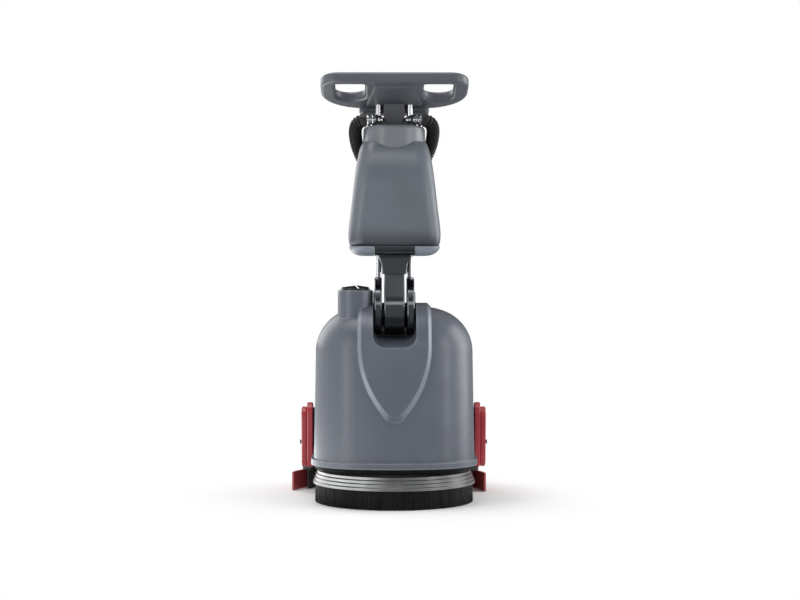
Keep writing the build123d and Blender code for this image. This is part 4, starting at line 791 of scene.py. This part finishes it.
# %% Moulded grain
NOISE_SPAN = (0.3, 0.7)
PEBBLE_SHARE = 0.08


def moulded_grain_group():
    """Clouds of two tones, roughness that drifts with them, and a fine pebble height."""
    group, w, given, out = new_group(
        "moulded_grain",
        [
            ("Vector", "Vector"),
            ("Tone", "Color"),
            ("Shade", "Color"),
            ("Grain", "Float"),
            ("Smooth", "Float"),
            ("Rough", "Float"),
        ],
        [("Colour", "Color"), ("Roughness", "Float"), ("Height", "Float")],
    )
    clouds = w.remap(w.noise(given["Vector"], scale=9.0, detail=3.0), *NOISE_SPAN)
    pebble = w.noise(given["Vector"], given["Grain"], rough=0.6)
    patches = w.remap(w.noise(given["Vector"], scale=31.0, detail=4.0), *NOISE_SPAN)
    cloudy = w.math("MULTIPLY", clouds, 1 - PEBBLE_SHARE)
    speckled = w.math("ADD", cloudy, w.math("MULTIPLY", pebble, PEBBLE_SHARE))
    w.join(w.mix(speckled, given["Shade"], given["Tone"]), out["Colour"])
    w.join(w.remap(patches, 0.0, 1.0, given["Smooth"], given["Rough"]), out["Roughness"])
    w.join(pebble, out["Height"])
    return group


moulded_grain = moulded_grain_group()
print("node group:", moulded_grain.name)

# %% [markdown]
# A corner is found by comparing the true normal with one averaged over a short reach: where the two part,
# the surface turns. The same averaging over a smaller width rounds the corner for the light.

# %% Edge wear
TURN_STARTS = 0.9985
TURN_FULL = 0.985
WEAR_LEAST = 0.25


def edge_wear_group():
    """Normal rounded over the width, and a mask where it turns within the reach, broken by noise."""
    group, w, given, out = new_group(
        "edge_wear",
        [("Vector", "Vector"), ("Width", "Float"), ("Reach", "Float"), ("Amount", "Float")],
        [("Normal", "Vector"), ("Mask", "Float")],
    )
    rounded = w.add("ShaderNodeBevel", {"Radius": given["Width"]}, samples=6).outputs[0]
    rubbed = w.add("ShaderNodeBevel", {"Radius": given["Reach"]}, samples=8).outputs[0]
    plain = w.add("ShaderNodeNewGeometry").outputs["Normal"]
    facing = w.add("ShaderNodeVectorMath", {0: rubbed, 1: plain}, operation="DOT_PRODUCT")
    edge = w.remap(facing.outputs["Value"], TURN_STARTS, TURN_FULL)
    spots = w.noise(given["Vector"], scale=70.0, detail=4.0, rough=0.6)
    broken = w.remap(spots, *NOISE_SPAN, to_low=WEAR_LEAST)
    w.join(rounded, out["Normal"])
    w.join(w.math("MULTIPLY", w.math("MULTIPLY", edge, broken), given["Amount"]), out["Mask"])
    return group


edge_wear = edge_wear_group()
print("node group:", edge_wear.name)

# %% [markdown]
# A cleaning machine gathers a little dust near the floor, thickest at the very bottom. Bare metal keeps the
# fine lines of the tool that drew or turned it. Stretched noise gives both without any picture.

# %% Floor dust and drawn metal
DUST_SPAN = (0.35, 0.75)
SMEAR_SPAN = (0.35, 0.7)
METAL_SPAN = (0.2, 0.8)
LINES_SHARE = 0.6


def floor_dust_group():
    """Dust that is thick at the floor and gone at the given height, broken up by noise."""
    group, w, given, out = new_group(
        "floor_dust",
        [("Vector", "Vector"), ("Reach", "Float"), ("Amount", "Float")],
        [("Mask", "Float")],
    )
    height = w.add("ShaderNodeSeparateXYZ", {0: given["Vector"]}).outputs["Z"]
    low = w.math("SUBTRACT", 1.0, w.math("DIVIDE", height, given["Reach"]), clamp=True)
    broken = w.remap(w.noise(given["Vector"], scale=42.0, detail=5.0, rough=0.65), *DUST_SPAN)
    w.join(w.math("MULTIPLY", w.math("MULTIPLY", low, broken), given["Amount"]), out["Mask"])
    return group


def drawn_metal_group():
    """Fine lines left by drawing or turning: noise squeezed hard across the lines, and slow smears."""
    group, w, given, out = new_group(
        "drawn_metal",
        [("Vector", "Vector"), ("Squeeze", "Vector"), ("Smooth", "Float"), ("Rough", "Float")],
        [("Roughness", "Float"), ("Height", "Float"), ("Smear", "Float")],
    )
    squeezed = w.add("ShaderNodeMapping", {"Vector": given["Vector"], "Scale": given["Squeeze"]})
    lines = w.noise(squeezed.outputs[0], scale=1.0, detail=4.0, rough=0.6)
    smear = w.remap(w.noise(given["Vector"], scale=26.0, detail=4.0), *SMEAR_SPAN)
    streaks = w.math("MULTIPLY", lines, LINES_SHARE)
    mixed = w.math("ADD", streaks, w.math("MULTIPLY", smear, 1 - LINES_SHARE))
    w.join(w.remap(mixed, *METAL_SPAN, given["Smooth"], given["Rough"]), out["Roughness"])
    w.join(lines, out["Height"])
    w.join(smear, out["Smear"])
    return group


floor_dust = floor_dust_group()
drawn_metal = drawn_metal_group()
print("node groups:", [g.name for g in bpy.data.node_groups])

# %% [markdown]
# ## Finishes
# A finish is a short recipe: which groups feed the shader, and with which values. Moulded plastic takes
# grain, paler corners and some dust near the floor; the paler corners are wear, and on the base they are
# widened into a painted highlight. Metals take drawn lines. The rounded normal catches light on sharp
# corners, as a mould or a file leaves them, without changing the solids.

# %% Finish helpers
EDGE = 1.0 * MM


def colour(tone, times=1.0, more=0.0):
    """A colour with full alpha, scaled and lifted."""
    return (*[min(1.0, times * c + more) for c in tone], 1.0)


def start_finish(name):
    """A new material with its wiring, shader sockets and object coordinates."""
    finish = bpy.data.materials.new(name)
    finish.use_nodes = True
    wiring = Wiring(finish.node_tree)
    shader = finish.node_tree.nodes["Principled BSDF"].inputs
    where = wiring.add("ShaderNodeTexCoord").outputs["Object"]
    return finish, wiring, shader, where


def bump(wiring, height, rounded, depth):
    """A height on top of the rounded normal."""
    inputs = {"Height": height, "Normal": rounded, "Distance": depth}
    return wiring.add("ShaderNodeBump", inputs).outputs[0]


print("finish helpers ready")

# %% [markdown]
# Two mouldings carry painted light at one place of their own. On the tank, painted shade darkens the front
# where it rolls under, above a rim made paler as a painted highlight. On the base, a painted highlight makes
# the bevel round the front panel paler along its whole width. Both are masks of the place and the normal, so
# they stay put from every side.

# %% Painted shade and highlights at one place
ROLL_SHADE = 0.5
ROLL_Z = (45 * MM, 4 * MM)
ROLL_Y = (-0.19, -0.235)
RIM_SOFT = 1 * MM
RIM_HIGHLIGHT = 1.6
BEVEL_DOWN = -0.7
BEVEL_TURN = (0.46, 0.70)
POCKET_X = (0.046, 0.052)
POCKET_Z = (0.295, 0.275)
PANEL_X = (0.088, 0.084)
PANEL_Y = (-0.19, -0.20)
PANEL_Z = (0.10, 0.13)


def rim_shade_and_highlight(w, where, base, tone, rim):
    """The base colour with painted shade where the front rolls under towards the rim, and a painted
    highlight below the rim.
    """
    at = w.add("ShaderNodeSeparateXYZ", {0: where}).outputs
    painted_roll_shade = w.fade(at["Z"], rim + ROLL_Z[0], rim + ROLL_Z[1], ROLL_SHADE)
    base = w.mix(w.math("MULTIPLY", painted_roll_shade, w.fade(at["Y"], *ROLL_Y)), base, (0, 0, 0, 1))
    return w.mix(w.remap(at["Z"], rim, rim - RIM_SOFT), base, colour(tone, RIM_HIGHLIGHT))


def bevel_highlight_mask(w, where, amount):
    """A mask for a painted highlight on the bevel round the panel: where the surface turns aside or down,
    clear of the pocket.
    """
    at = w.add("ShaderNodeSeparateXYZ", {0: where}).outputs
    normal = w.add("ShaderNodeNewGeometry").outputs["Normal"]
    facing = w.add("ShaderNodeSeparateXYZ", {0: normal}).outputs
    down = w.math("MAXIMUM", w.math("MULTIPLY", facing["Z"], BEVEL_DOWN), 0.0)
    turned = w.fade(w.math("ADD", w.math("ABSOLUTE", facing["X"]), down), *BEVEL_TURN, amount)
    beside = w.math("ABSOLUTE", at["X"])
    clear = w.math("MAXIMUM", w.fade(beside, *POCKET_X), w.fade(at["Z"], *POCKET_Z))
    within = w.math("MULTIPLY", w.fade(beside, *PANEL_X), w.fade(at["Z"], *PANEL_Z))
    front = w.math("MULTIPLY", within, w.fade(at["Y"], *PANEL_Y))
    return w.math("MULTIPLY", turned, w.math("MULTIPLY", clear, front))


print("tints ready")

# %% Moulded plastic
DUST = (0.30, 0.29, 0.27, 1)
SHADE = 0.84
GRAIN_DEPTH = 0.05 * MM
WORN_AND_LIT_TIMES = 1.7
WORN_AND_LIT_MORE = 0.03
PLAIN = {
    "grain": 1400.0,  # pebbles to the metre
    "edge": EDGE,  # how far a rubbed corner reaches
    "worn": 0.3,  # how pale it is
    "dust": 0.0,  # how thick dust lies at the floor
    "reach": 0.2,  # the height where dust ends
    # rim: painted shade above this height on the tank's front and a painted highlight below it
    "rim": 0.0,  # the height of a paler rim
    # bevel: how bright the painted highlight on the panel's bevel is
    "bevel": 0.0,  # how pale the panel's bevel is
    "shine": 0.5,
}


def moulded(name, tone, smooth, rough, **more):
    """Moulded plastic: grain and clouds, paler corners from wear and on the base a painted highlight, dust
    near the floor, and painted shade and highlights at one place.
    """
    finish, w, shader, where = start_finish(name)
    extra = PLAIN | more
    skin = w.filled(
        moulded_grain,
        {
            "Vector": where,
            "Tone": colour(tone),
            "Shade": colour(tone, SHADE),
            "Grain": extra["grain"],
            "Smooth": smooth,
            "Rough": rough,
        },
    )
    wear = {"Vector": where, "Width": EDGE, "Reach": extra["edge"], "Amount": extra["worn"]}
    edge = w.filled(edge_wear, wear)
    # paler colour for worn corners, and for the painted highlights on the base's edges and bevel
    rubbed = colour(tone, WORN_AND_LIT_TIMES, WORN_AND_LIT_MORE)
    base = w.mix(edge["Mask"], skin["Colour"], rubbed)
    if extra["dust"]:
        given = {"Vector": where, "Reach": extra["reach"], "Amount": extra["dust"]}
        base = w.mix(w.filled(floor_dust, given)["Mask"], base, DUST)
    # painted highlight: the panel's bevel made paler along its whole width
    if extra["bevel"]:
        base = w.mix(bevel_highlight_mask(w, where, extra["bevel"]), base, rubbed)
    # painted shade above the tank's rim and a painted highlight on the rim
    if extra["rim"]:
        base = rim_shade_and_highlight(w, where, base, tone, extra["rim"])
    w.join(base, shader["Base Color"])
    w.join(skin["Roughness"], shader["Roughness"])
    w.join(bump(w, skin["Height"], edge["Normal"], GRAIN_DEPTH), shader["Normal"])
    shader["Specular IOR Level"].default_value = extra["shine"]
    return finish


print("moulded plastic ready")

# %% Bare metal
LINE_DEPTH = 0.002 * MM
METAL_STAIN = 0.75
METAL_WORN = 0.3
METAL_PALE = 1.2


def metal(name, tone, smooth, rough, squeeze):
    """Bare metal: fine lines across the squeezed axis and slightly darker smears."""
    finish, w, shader, where = start_finish(name)
    lines = {"Vector": where, "Squeeze": squeeze, "Smooth": smooth, "Rough": rough}
    drawn = w.filled(drawn_metal, lines)
    edge = w.filled(edge_wear, {"Vector": where, "Width": EDGE, "Reach": EDGE, "Amount": METAL_WORN})
    base = w.mix(drawn["Smear"], colour(tone), colour(tone, METAL_STAIN))
    w.join(w.mix(edge["Mask"], base, colour(tone, METAL_PALE)), shader["Base Color"])
    w.join(drawn["Roughness"], shader["Roughness"])
    shader["Metallic"].default_value = 1.0
    w.join(bump(w, drawn["Height"], edge["Normal"], LINE_DEPTH), shader["Normal"])
    return finish


print("bare metal ready")

# %% [markdown]
# Hoses and bristles have a pattern that follows their own length, so they carry it as an attribute on their
# points: how high a point stands on a rib, and one shade for every strand. The finish reads it by name and
# darkens the grooves as painted shade, or gives neighbouring strands slightly different blacks.

# %% Finishes that read an attribute
SOFT_SHINE = 0.2
SOFT_GRAIN_DEPTH = 0.03 * MM
SOFT_DRIFT = 0.15


def from_attribute(name, attribute, low, high, smooth, rough):
    """Colour and roughness between two ends, by the piece's own attribute and a little noise."""
    finish, w, shader, where = start_finish(name)
    share = w.add("ShaderNodeAttribute", attribute_name=attribute).outputs["Fac"]
    clouds = w.noise(where, scale=55.0, detail=3.0)
    drift = w.remap(clouds, *NOISE_SPAN, -SOFT_DRIFT, SOFT_DRIFT)
    shared = w.math("ADD", share, drift, clamp=True)
    w.join(w.mix(shared, colour(low), colour(high)), shader["Base Color"])
    w.join(w.remap(shared, 0.0, 1.0, rough, smooth), shader["Roughness"])
    grain = {"Height": w.noise(where, scale=900.0), "Distance": SOFT_GRAIN_DEPTH}
    w.join(w.add("ShaderNodeBump", grain).outputs[0], shader["Normal"])
    shader["Specular IOR Level"].default_value = SOFT_SHINE
    return finish


# the hose's grooves darker than its crests: painted shade in the grooves
HOSE_GROOVE_SHADE = ((0.002, 0.002, 0.002), (0.026, 0.026, 0.027))
STRAND_ENDS = ((0.003, 0.003, 0.003), (0.012, 0.012, 0.012))
FINISHES = {
    "hose_black": from_attribute("hose_rubber", "rib_height", *HOSE_GROOVE_SHADE, 0.32, 0.6),
    "bristle_black": from_attribute("nylon_strands", "strand_shade", *STRAND_ENDS, 0.42, 0.65),
}
print("attribute finishes:", list(FINISHES))

# %% [markdown]
# Every slot of the solids has one finish. A row gives its name, its tone, its least and greatest roughness
# and what sets it apart. The slate greys, the blacks and the reds follow the photograph. For a metal, the
# last value squeezes the noise along one axis, and the fine lines run across that axis.

# %% Moulded and painted finishes by slot
# the base: wide pale edges that are partly wear and partly a painted highlight, plus the painted highlight
# on the panel's bevel
BASE_WEAR_AND_HIGHLIGHT = {"dust": 0.06, "edge": 5 * MM, "worn": 0.8, "bevel": 0.9}
MOULDED = {
    "body_grey": ("slate_base", (0.106, 0.119, 0.147), 0.29, 0.36, BASE_WEAR_AND_HIGHLIGHT),
    # the tank's rim value brings painted shade above the rim and a painted highlight on it
    "tank_grey": ("slate_tank", (0.122, 0.140, 0.165), 0.32, 0.40, {"rim": 0.5572}),
    "lid_grey": ("pale_lid", (0.165, 0.178, 0.195), 0.28, 0.36, {}),
    "spine_grey": ("spine_coat", (0.105, 0.110, 0.124), 0.29, 0.40, {}),
    "handle_grey": ("handle_moulding", (0.092, 0.102, 0.120), 0.28, 0.36, {}),
    "console_black": ("console_moulding", (0.018, 0.018, 0.020), 0.34, 0.50, {}),
    "cap_black": ("cap_moulding", (0.010, 0.010, 0.012), 0.18, 0.26, {}),
    "chassis_black": ("chassis_coat", (0.003, 0.003, 0.004), 0.50, 0.65, {"worn": 0.05, "shine": 0.15}),
    "bracket_black": ("bracket_coat", (0.010, 0.010, 0.011), 0.16, 0.26, {"worn": 0.6}),
    "hub_black": ("hub_moulding", (0.020, 0.020, 0.020), 0.40, 0.55, {"dust": 0.2}),
    "battery_black": ("battery_case", (0.020, 0.020, 0.022), 0.40, 0.55, {}),
    "shelf_steel": ("shelf_coat", (0.060, 0.060, 0.065), 0.35, 0.50, {}),
    "valve_black": ("valve_moulding", (0.020, 0.020, 0.020), 0.40, 0.50, {}),
    "socket_black": ("socket_moulding", (0.014, 0.014, 0.015), 0.30, 0.45, {}),
    "pipe_black": ("pipe_moulding", (0.016, 0.016, 0.017), 0.30, 0.45, {"dust": 0.1}),
    "squeegee_black": ("squeegee_coat", (0.013, 0.013, 0.015), 0.30, 0.45, {"dust": 0.1}),
    "wheel_grey": ("wheel_moulding", (0.070, 0.072, 0.076), 0.35, 0.50, {"dust": 0.2}),
    "tyre_rubber": ("tyre_rubber", (0.020, 0.020, 0.021), 0.55, 0.75, {"dust": 0.25, "reach": 0.1}),
    "seal_rubber": ("seal_rubber", (0.016, 0.016, 0.016), 0.50, 0.65, {}),
    "red_metal": ("crimson_coat", (0.450, 0.045, 0.055), 0.18, 0.26, {"grain": 700.0, "worn": 0.5}),
    "blade_red": ("red_rubber", (0.500, 0.070, 0.080), 0.32, 0.42, {"dust": 0.06, "reach": 0.05}),
    "blade_black": ("black_rubber", (0.014, 0.014, 0.014), 0.45, 0.60, {"dust": 0.1, "reach": 0.05}),
    "gauge_green": ("gauge_window", (0.010, 0.018, 0.012), 0.08, 0.14, {"worn": 0.1}),
    "button_green": ("green_key", (0.020, 0.190, 0.060), 0.29, 0.36, {}),
    "button_blue": ("blue_key", (0.020, 0.080, 0.290), 0.29, 0.36, {}),
    "button_grey": ("grey_key", (0.300, 0.305, 0.310), 0.29, 0.36, {}),
    "key_black": ("key_bow", (0.014, 0.014, 0.014), 0.29, 0.40, {}),
}
for slot, (name, tone, smooth, rough, more) in MOULDED.items():
    FINISHES[slot] = moulded(name, tone, smooth, rough, **more)
print("moulded finishes:", len(MOULDED))

# %% Metal finishes by slot
SQUEEZED_X = (2000.0, 80.0, 80.0)
SQUEEZED_Z = (60.0, 60.0, 2600.0)
METALS = {
    "deck_metal": ("polished_deck", (0.30, 0.305, 0.31), 0.30, 0.36, SQUEEZED_Z),
    "column_grey": ("dark_satin_metal", (0.20, 0.212, 0.235), 0.14, 0.20, SQUEEZED_X),
    "rail_grey": ("dark_rail", (0.11, 0.117, 0.130), 0.20, 0.26, SQUEEZED_X),
    "motor_steel": ("motor_case", (0.45, 0.46, 0.47), 0.29, 0.40, SQUEEZED_Z),
    "controller_metal": ("controller_case", (0.35, 0.36, 0.37), 0.30, 0.45, SQUEEZED_Z),
    "axle_steel": ("zinc_axle", (0.48, 0.48, 0.49), 0.29, 0.38, SQUEEZED_X),
    "knob_steel": ("turned_knob", (0.62, 0.63, 0.64), 0.16, 0.26, SQUEEZED_Z),
    "tube_chrome": ("bright_chrome", (0.60, 0.61, 0.63), 0.21, 0.26, SQUEEZED_Z),
}
for slot, (name, tone, smooth, rough, squeeze) in METALS.items():
    FINISHES[slot] = metal(name, tone, smooth, rough, squeeze)
print("metal finishes:", len(METALS))

# %% Finishes on every piece
for node in nodes.values():
    for place in node.material_slots:
        place.material = FINISHES[place.material.name.split(".")[0]]
for piece in list(hoses.values()) + extras:
    piece.data.materials.append(FINISHES[piece["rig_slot"]])
print("pieces with a finish:", len(nodes) + len(hoses) + len(extras))

# %% [markdown]
# ## Floor
# The machine stands on a white studio floor that runs into a white backdrop. Near the machine the floor is
# plain white paint, so that it keeps the soft shadow. Further out it glows white, so that no edge shows.
# Reflections see another level there: bright close by on the left, which makes the ring round the brush
# gleam on that side, and dim elsewhere.

# %% Floor
FLOOR_HALF = 12.0
FLOOR_TONES = ((0.93, 0.93, 0.93, 1), (0.95, 0.95, 0.95, 1))
FLOOR_ROUGH = 0.7
SHADOW_SPAN = (0.28, 0.50)
GLOW_AHEAD = 0.22
GLOW_LEFT = 0.7
GLOW_LEFT_NEAR = 3.3
GLOW_RIGHT = 0.04
LEFT_SPAN = (-0.12, -0.60)
RIGHT_SPAN = (0.2, 0.8)
NEAR_SPAN = (1.7, 0.9)


def floor_glow(w, where, away, straight):
    """White to the eye; for reflections a plain level ahead, plus what fades in at the left and right."""
    across = w.add("ShaderNodeSeparateXYZ", {0: where}).outputs["X"]
    near = w.math("ADD", w.fade(away, *NEAR_SPAN, GLOW_LEFT_NEAR), GLOW_LEFT)
    left = w.math("MULTIPLY", w.fade(across, *LEFT_SPAN), near)
    sides = w.math("ADD", left, w.fade(across, *RIGHT_SPAN, GLOW_RIGHT))
    level = w.add("ShaderNodeMix", {0: straight, 2: w.math("ADD", sides, GLOW_AHEAD), 3: 1.0})
    glow = {"Color": (1, 1, 1, 1), "Strength": level.outputs[0]}
    return w.add("ShaderNodeEmission", glow).outputs[0]


def studio_floor():
    """White paint near the machine and a white glow further out, mixed by the distance from the middle."""
    edge = FLOOR_HALF * np.array([[-1, -1, 0], [1, -1, 0], [1, 1, 0], [-1, 1, 0]], float)
    floor = make_mesh("studio_floor", edge, [[0, 1, 2, 3]])
    paint, w, shader, where = start_finish("floor_paint")
    w.join(w.mix(w.noise(where, scale=3.0), *FLOOR_TONES), shader["Base Color"])
    shader["Roughness"].default_value = FLOOR_ROUGH
    shader["Specular IOR Level"].default_value = SOFT_SHINE
    light = w.add("ShaderNodeLightPath").outputs
    away = w.add("ShaderNodeVectorMath", {0: where}, operation="LENGTH").outputs["Value"]
    glow = floor_glow(w, where, away, light["Is Camera Ray"])
    seen = w.math("MAXIMUM", light["Is Camera Ray"], light["Is Glossy Ray"])
    share = w.math("MULTIPLY", w.remap(away, *SHADOW_SPAN), seen)
    tree = paint.node_tree.nodes
    both = w.add("ShaderNodeMixShader", {0: share, 1: tree["Principled BSDF"].outputs[0], 2: glow})
    w.join(both.outputs[0], tree["Material Output"].inputs["Surface"])
    floor.data.materials.append(paint)
    return floor


print("floor:", studio_floor().name)

# %% [markdown]
# ## Backdrop and light
# Satin plastic shows the room it stands in, so a studio puts large white panels round it and leaves the rest
# dim. The world stands in for the panels: bright at both sides and overhead, with a low glow in front. It
# fades smoothly, because the edge of a real panel would show as a box on the tank.

# %% World
SIDE_FADE = (0.30, 0.90)
TOP_FADE = (0.40, 0.95)
LOW_FADE_IN = (0.04, 0.15)
LOW_FADE_OUT = (0.36, 0.20)
FRONT_FADE = (-0.55, -0.97)


def studio_world(fill, left, right, top, front):
    """White to the eye; for light, bright at each side, overhead and low in front, and dim elsewhere."""
    world = bpy.data.worlds.new("studio")
    world.use_nodes = True
    bpy.context.scene.world = world
    w = Wiring(world.node_tree)
    towards = w.add("ShaderNodeTexCoord").outputs["Generated"]
    ray = w.add("ShaderNodeSeparateXYZ", {0: towards}).outputs
    leftward = w.math("MULTIPLY", ray["X"], -1.0)
    sides = w.math("ADD", w.fade(leftward, *SIDE_FADE, left), w.fade(ray["X"], *SIDE_FADE, right))
    above = w.fade(ray["Z"], *TOP_FADE, top)
    low = w.math("MULTIPLY", w.fade(ray["Z"], *LOW_FADE_IN), w.fade(ray["Z"], *LOW_FADE_OUT))
    ahead = w.math("MULTIPLY", low, w.fade(ray["Y"], *FRONT_FADE, front))
    level = w.math("ADD", w.math("ADD", fill, ahead), w.math("MAXIMUM", sides, above))
    seen = w.add("ShaderNodeLightPath").outputs["Is Camera Ray"]
    strength = w.add("ShaderNodeMix", {0: seen, 2: level, 3: 1.0})
    shine = world.node_tree.nodes["Background"].inputs
    shine["Color"].default_value = (1, 1, 1, 1)
    w.join(strength.outputs[0], shine["Strength"])
    return world


world = studio_world(fill=0.09, left=0.90, right=0.90, top=0.55, front=1.40)
print("world:", world.name)

# %% [markdown]
# Area lamps add the light that falls: two softboxes beside the machine and one over it shape the body, and
# two narrow strips further forward draw a bright line along each rounded edge.

# %% Soft lamps
LAMPS = (
    ("left_softbox", (-1.30, 1.25, 1.15), (1.4, 1.5), 14.0),
    ("right_softbox", (1.8, 0.30, 0.8), (1.0, 1.9), 19.0),
    ("overhead_softbox", (-0.4, -0.4, 2.4), (1.8, 1.2), 20.0),
    ("left_strip", (-1.65, -1.6, 0.8), (0.4, 1.7), 8.0),
    ("right_strip", (1.9, -1.3, 0.8), (0.4, 1.7), 8.0),
)
AIM = Vector((0, -0.05, 0.45))
for lamp_name, place, size, power in LAMPS:
    lamp = bpy.data.lights.new(lamp_name, "AREA")
    lamp.shape = "RECTANGLE"
    lamp.size, lamp.size_y = size
    lamp.energy = power
    holder = bpy.data.objects.new(lamp_name, lamp)
    holder.location = place
    holder.rotation_euler = (AIM - Vector(place)).to_track_quat("-Z", "Y").to_euler()
    bpy.context.scene.collection.objects.link(holder)
print("lamps:", len(LAMPS))

# %% [markdown]
# ## View transform
# The colours are shown with the standard view transform.

# %% View transform
bpy.context.scene.view_settings.view_transform = "Standard"
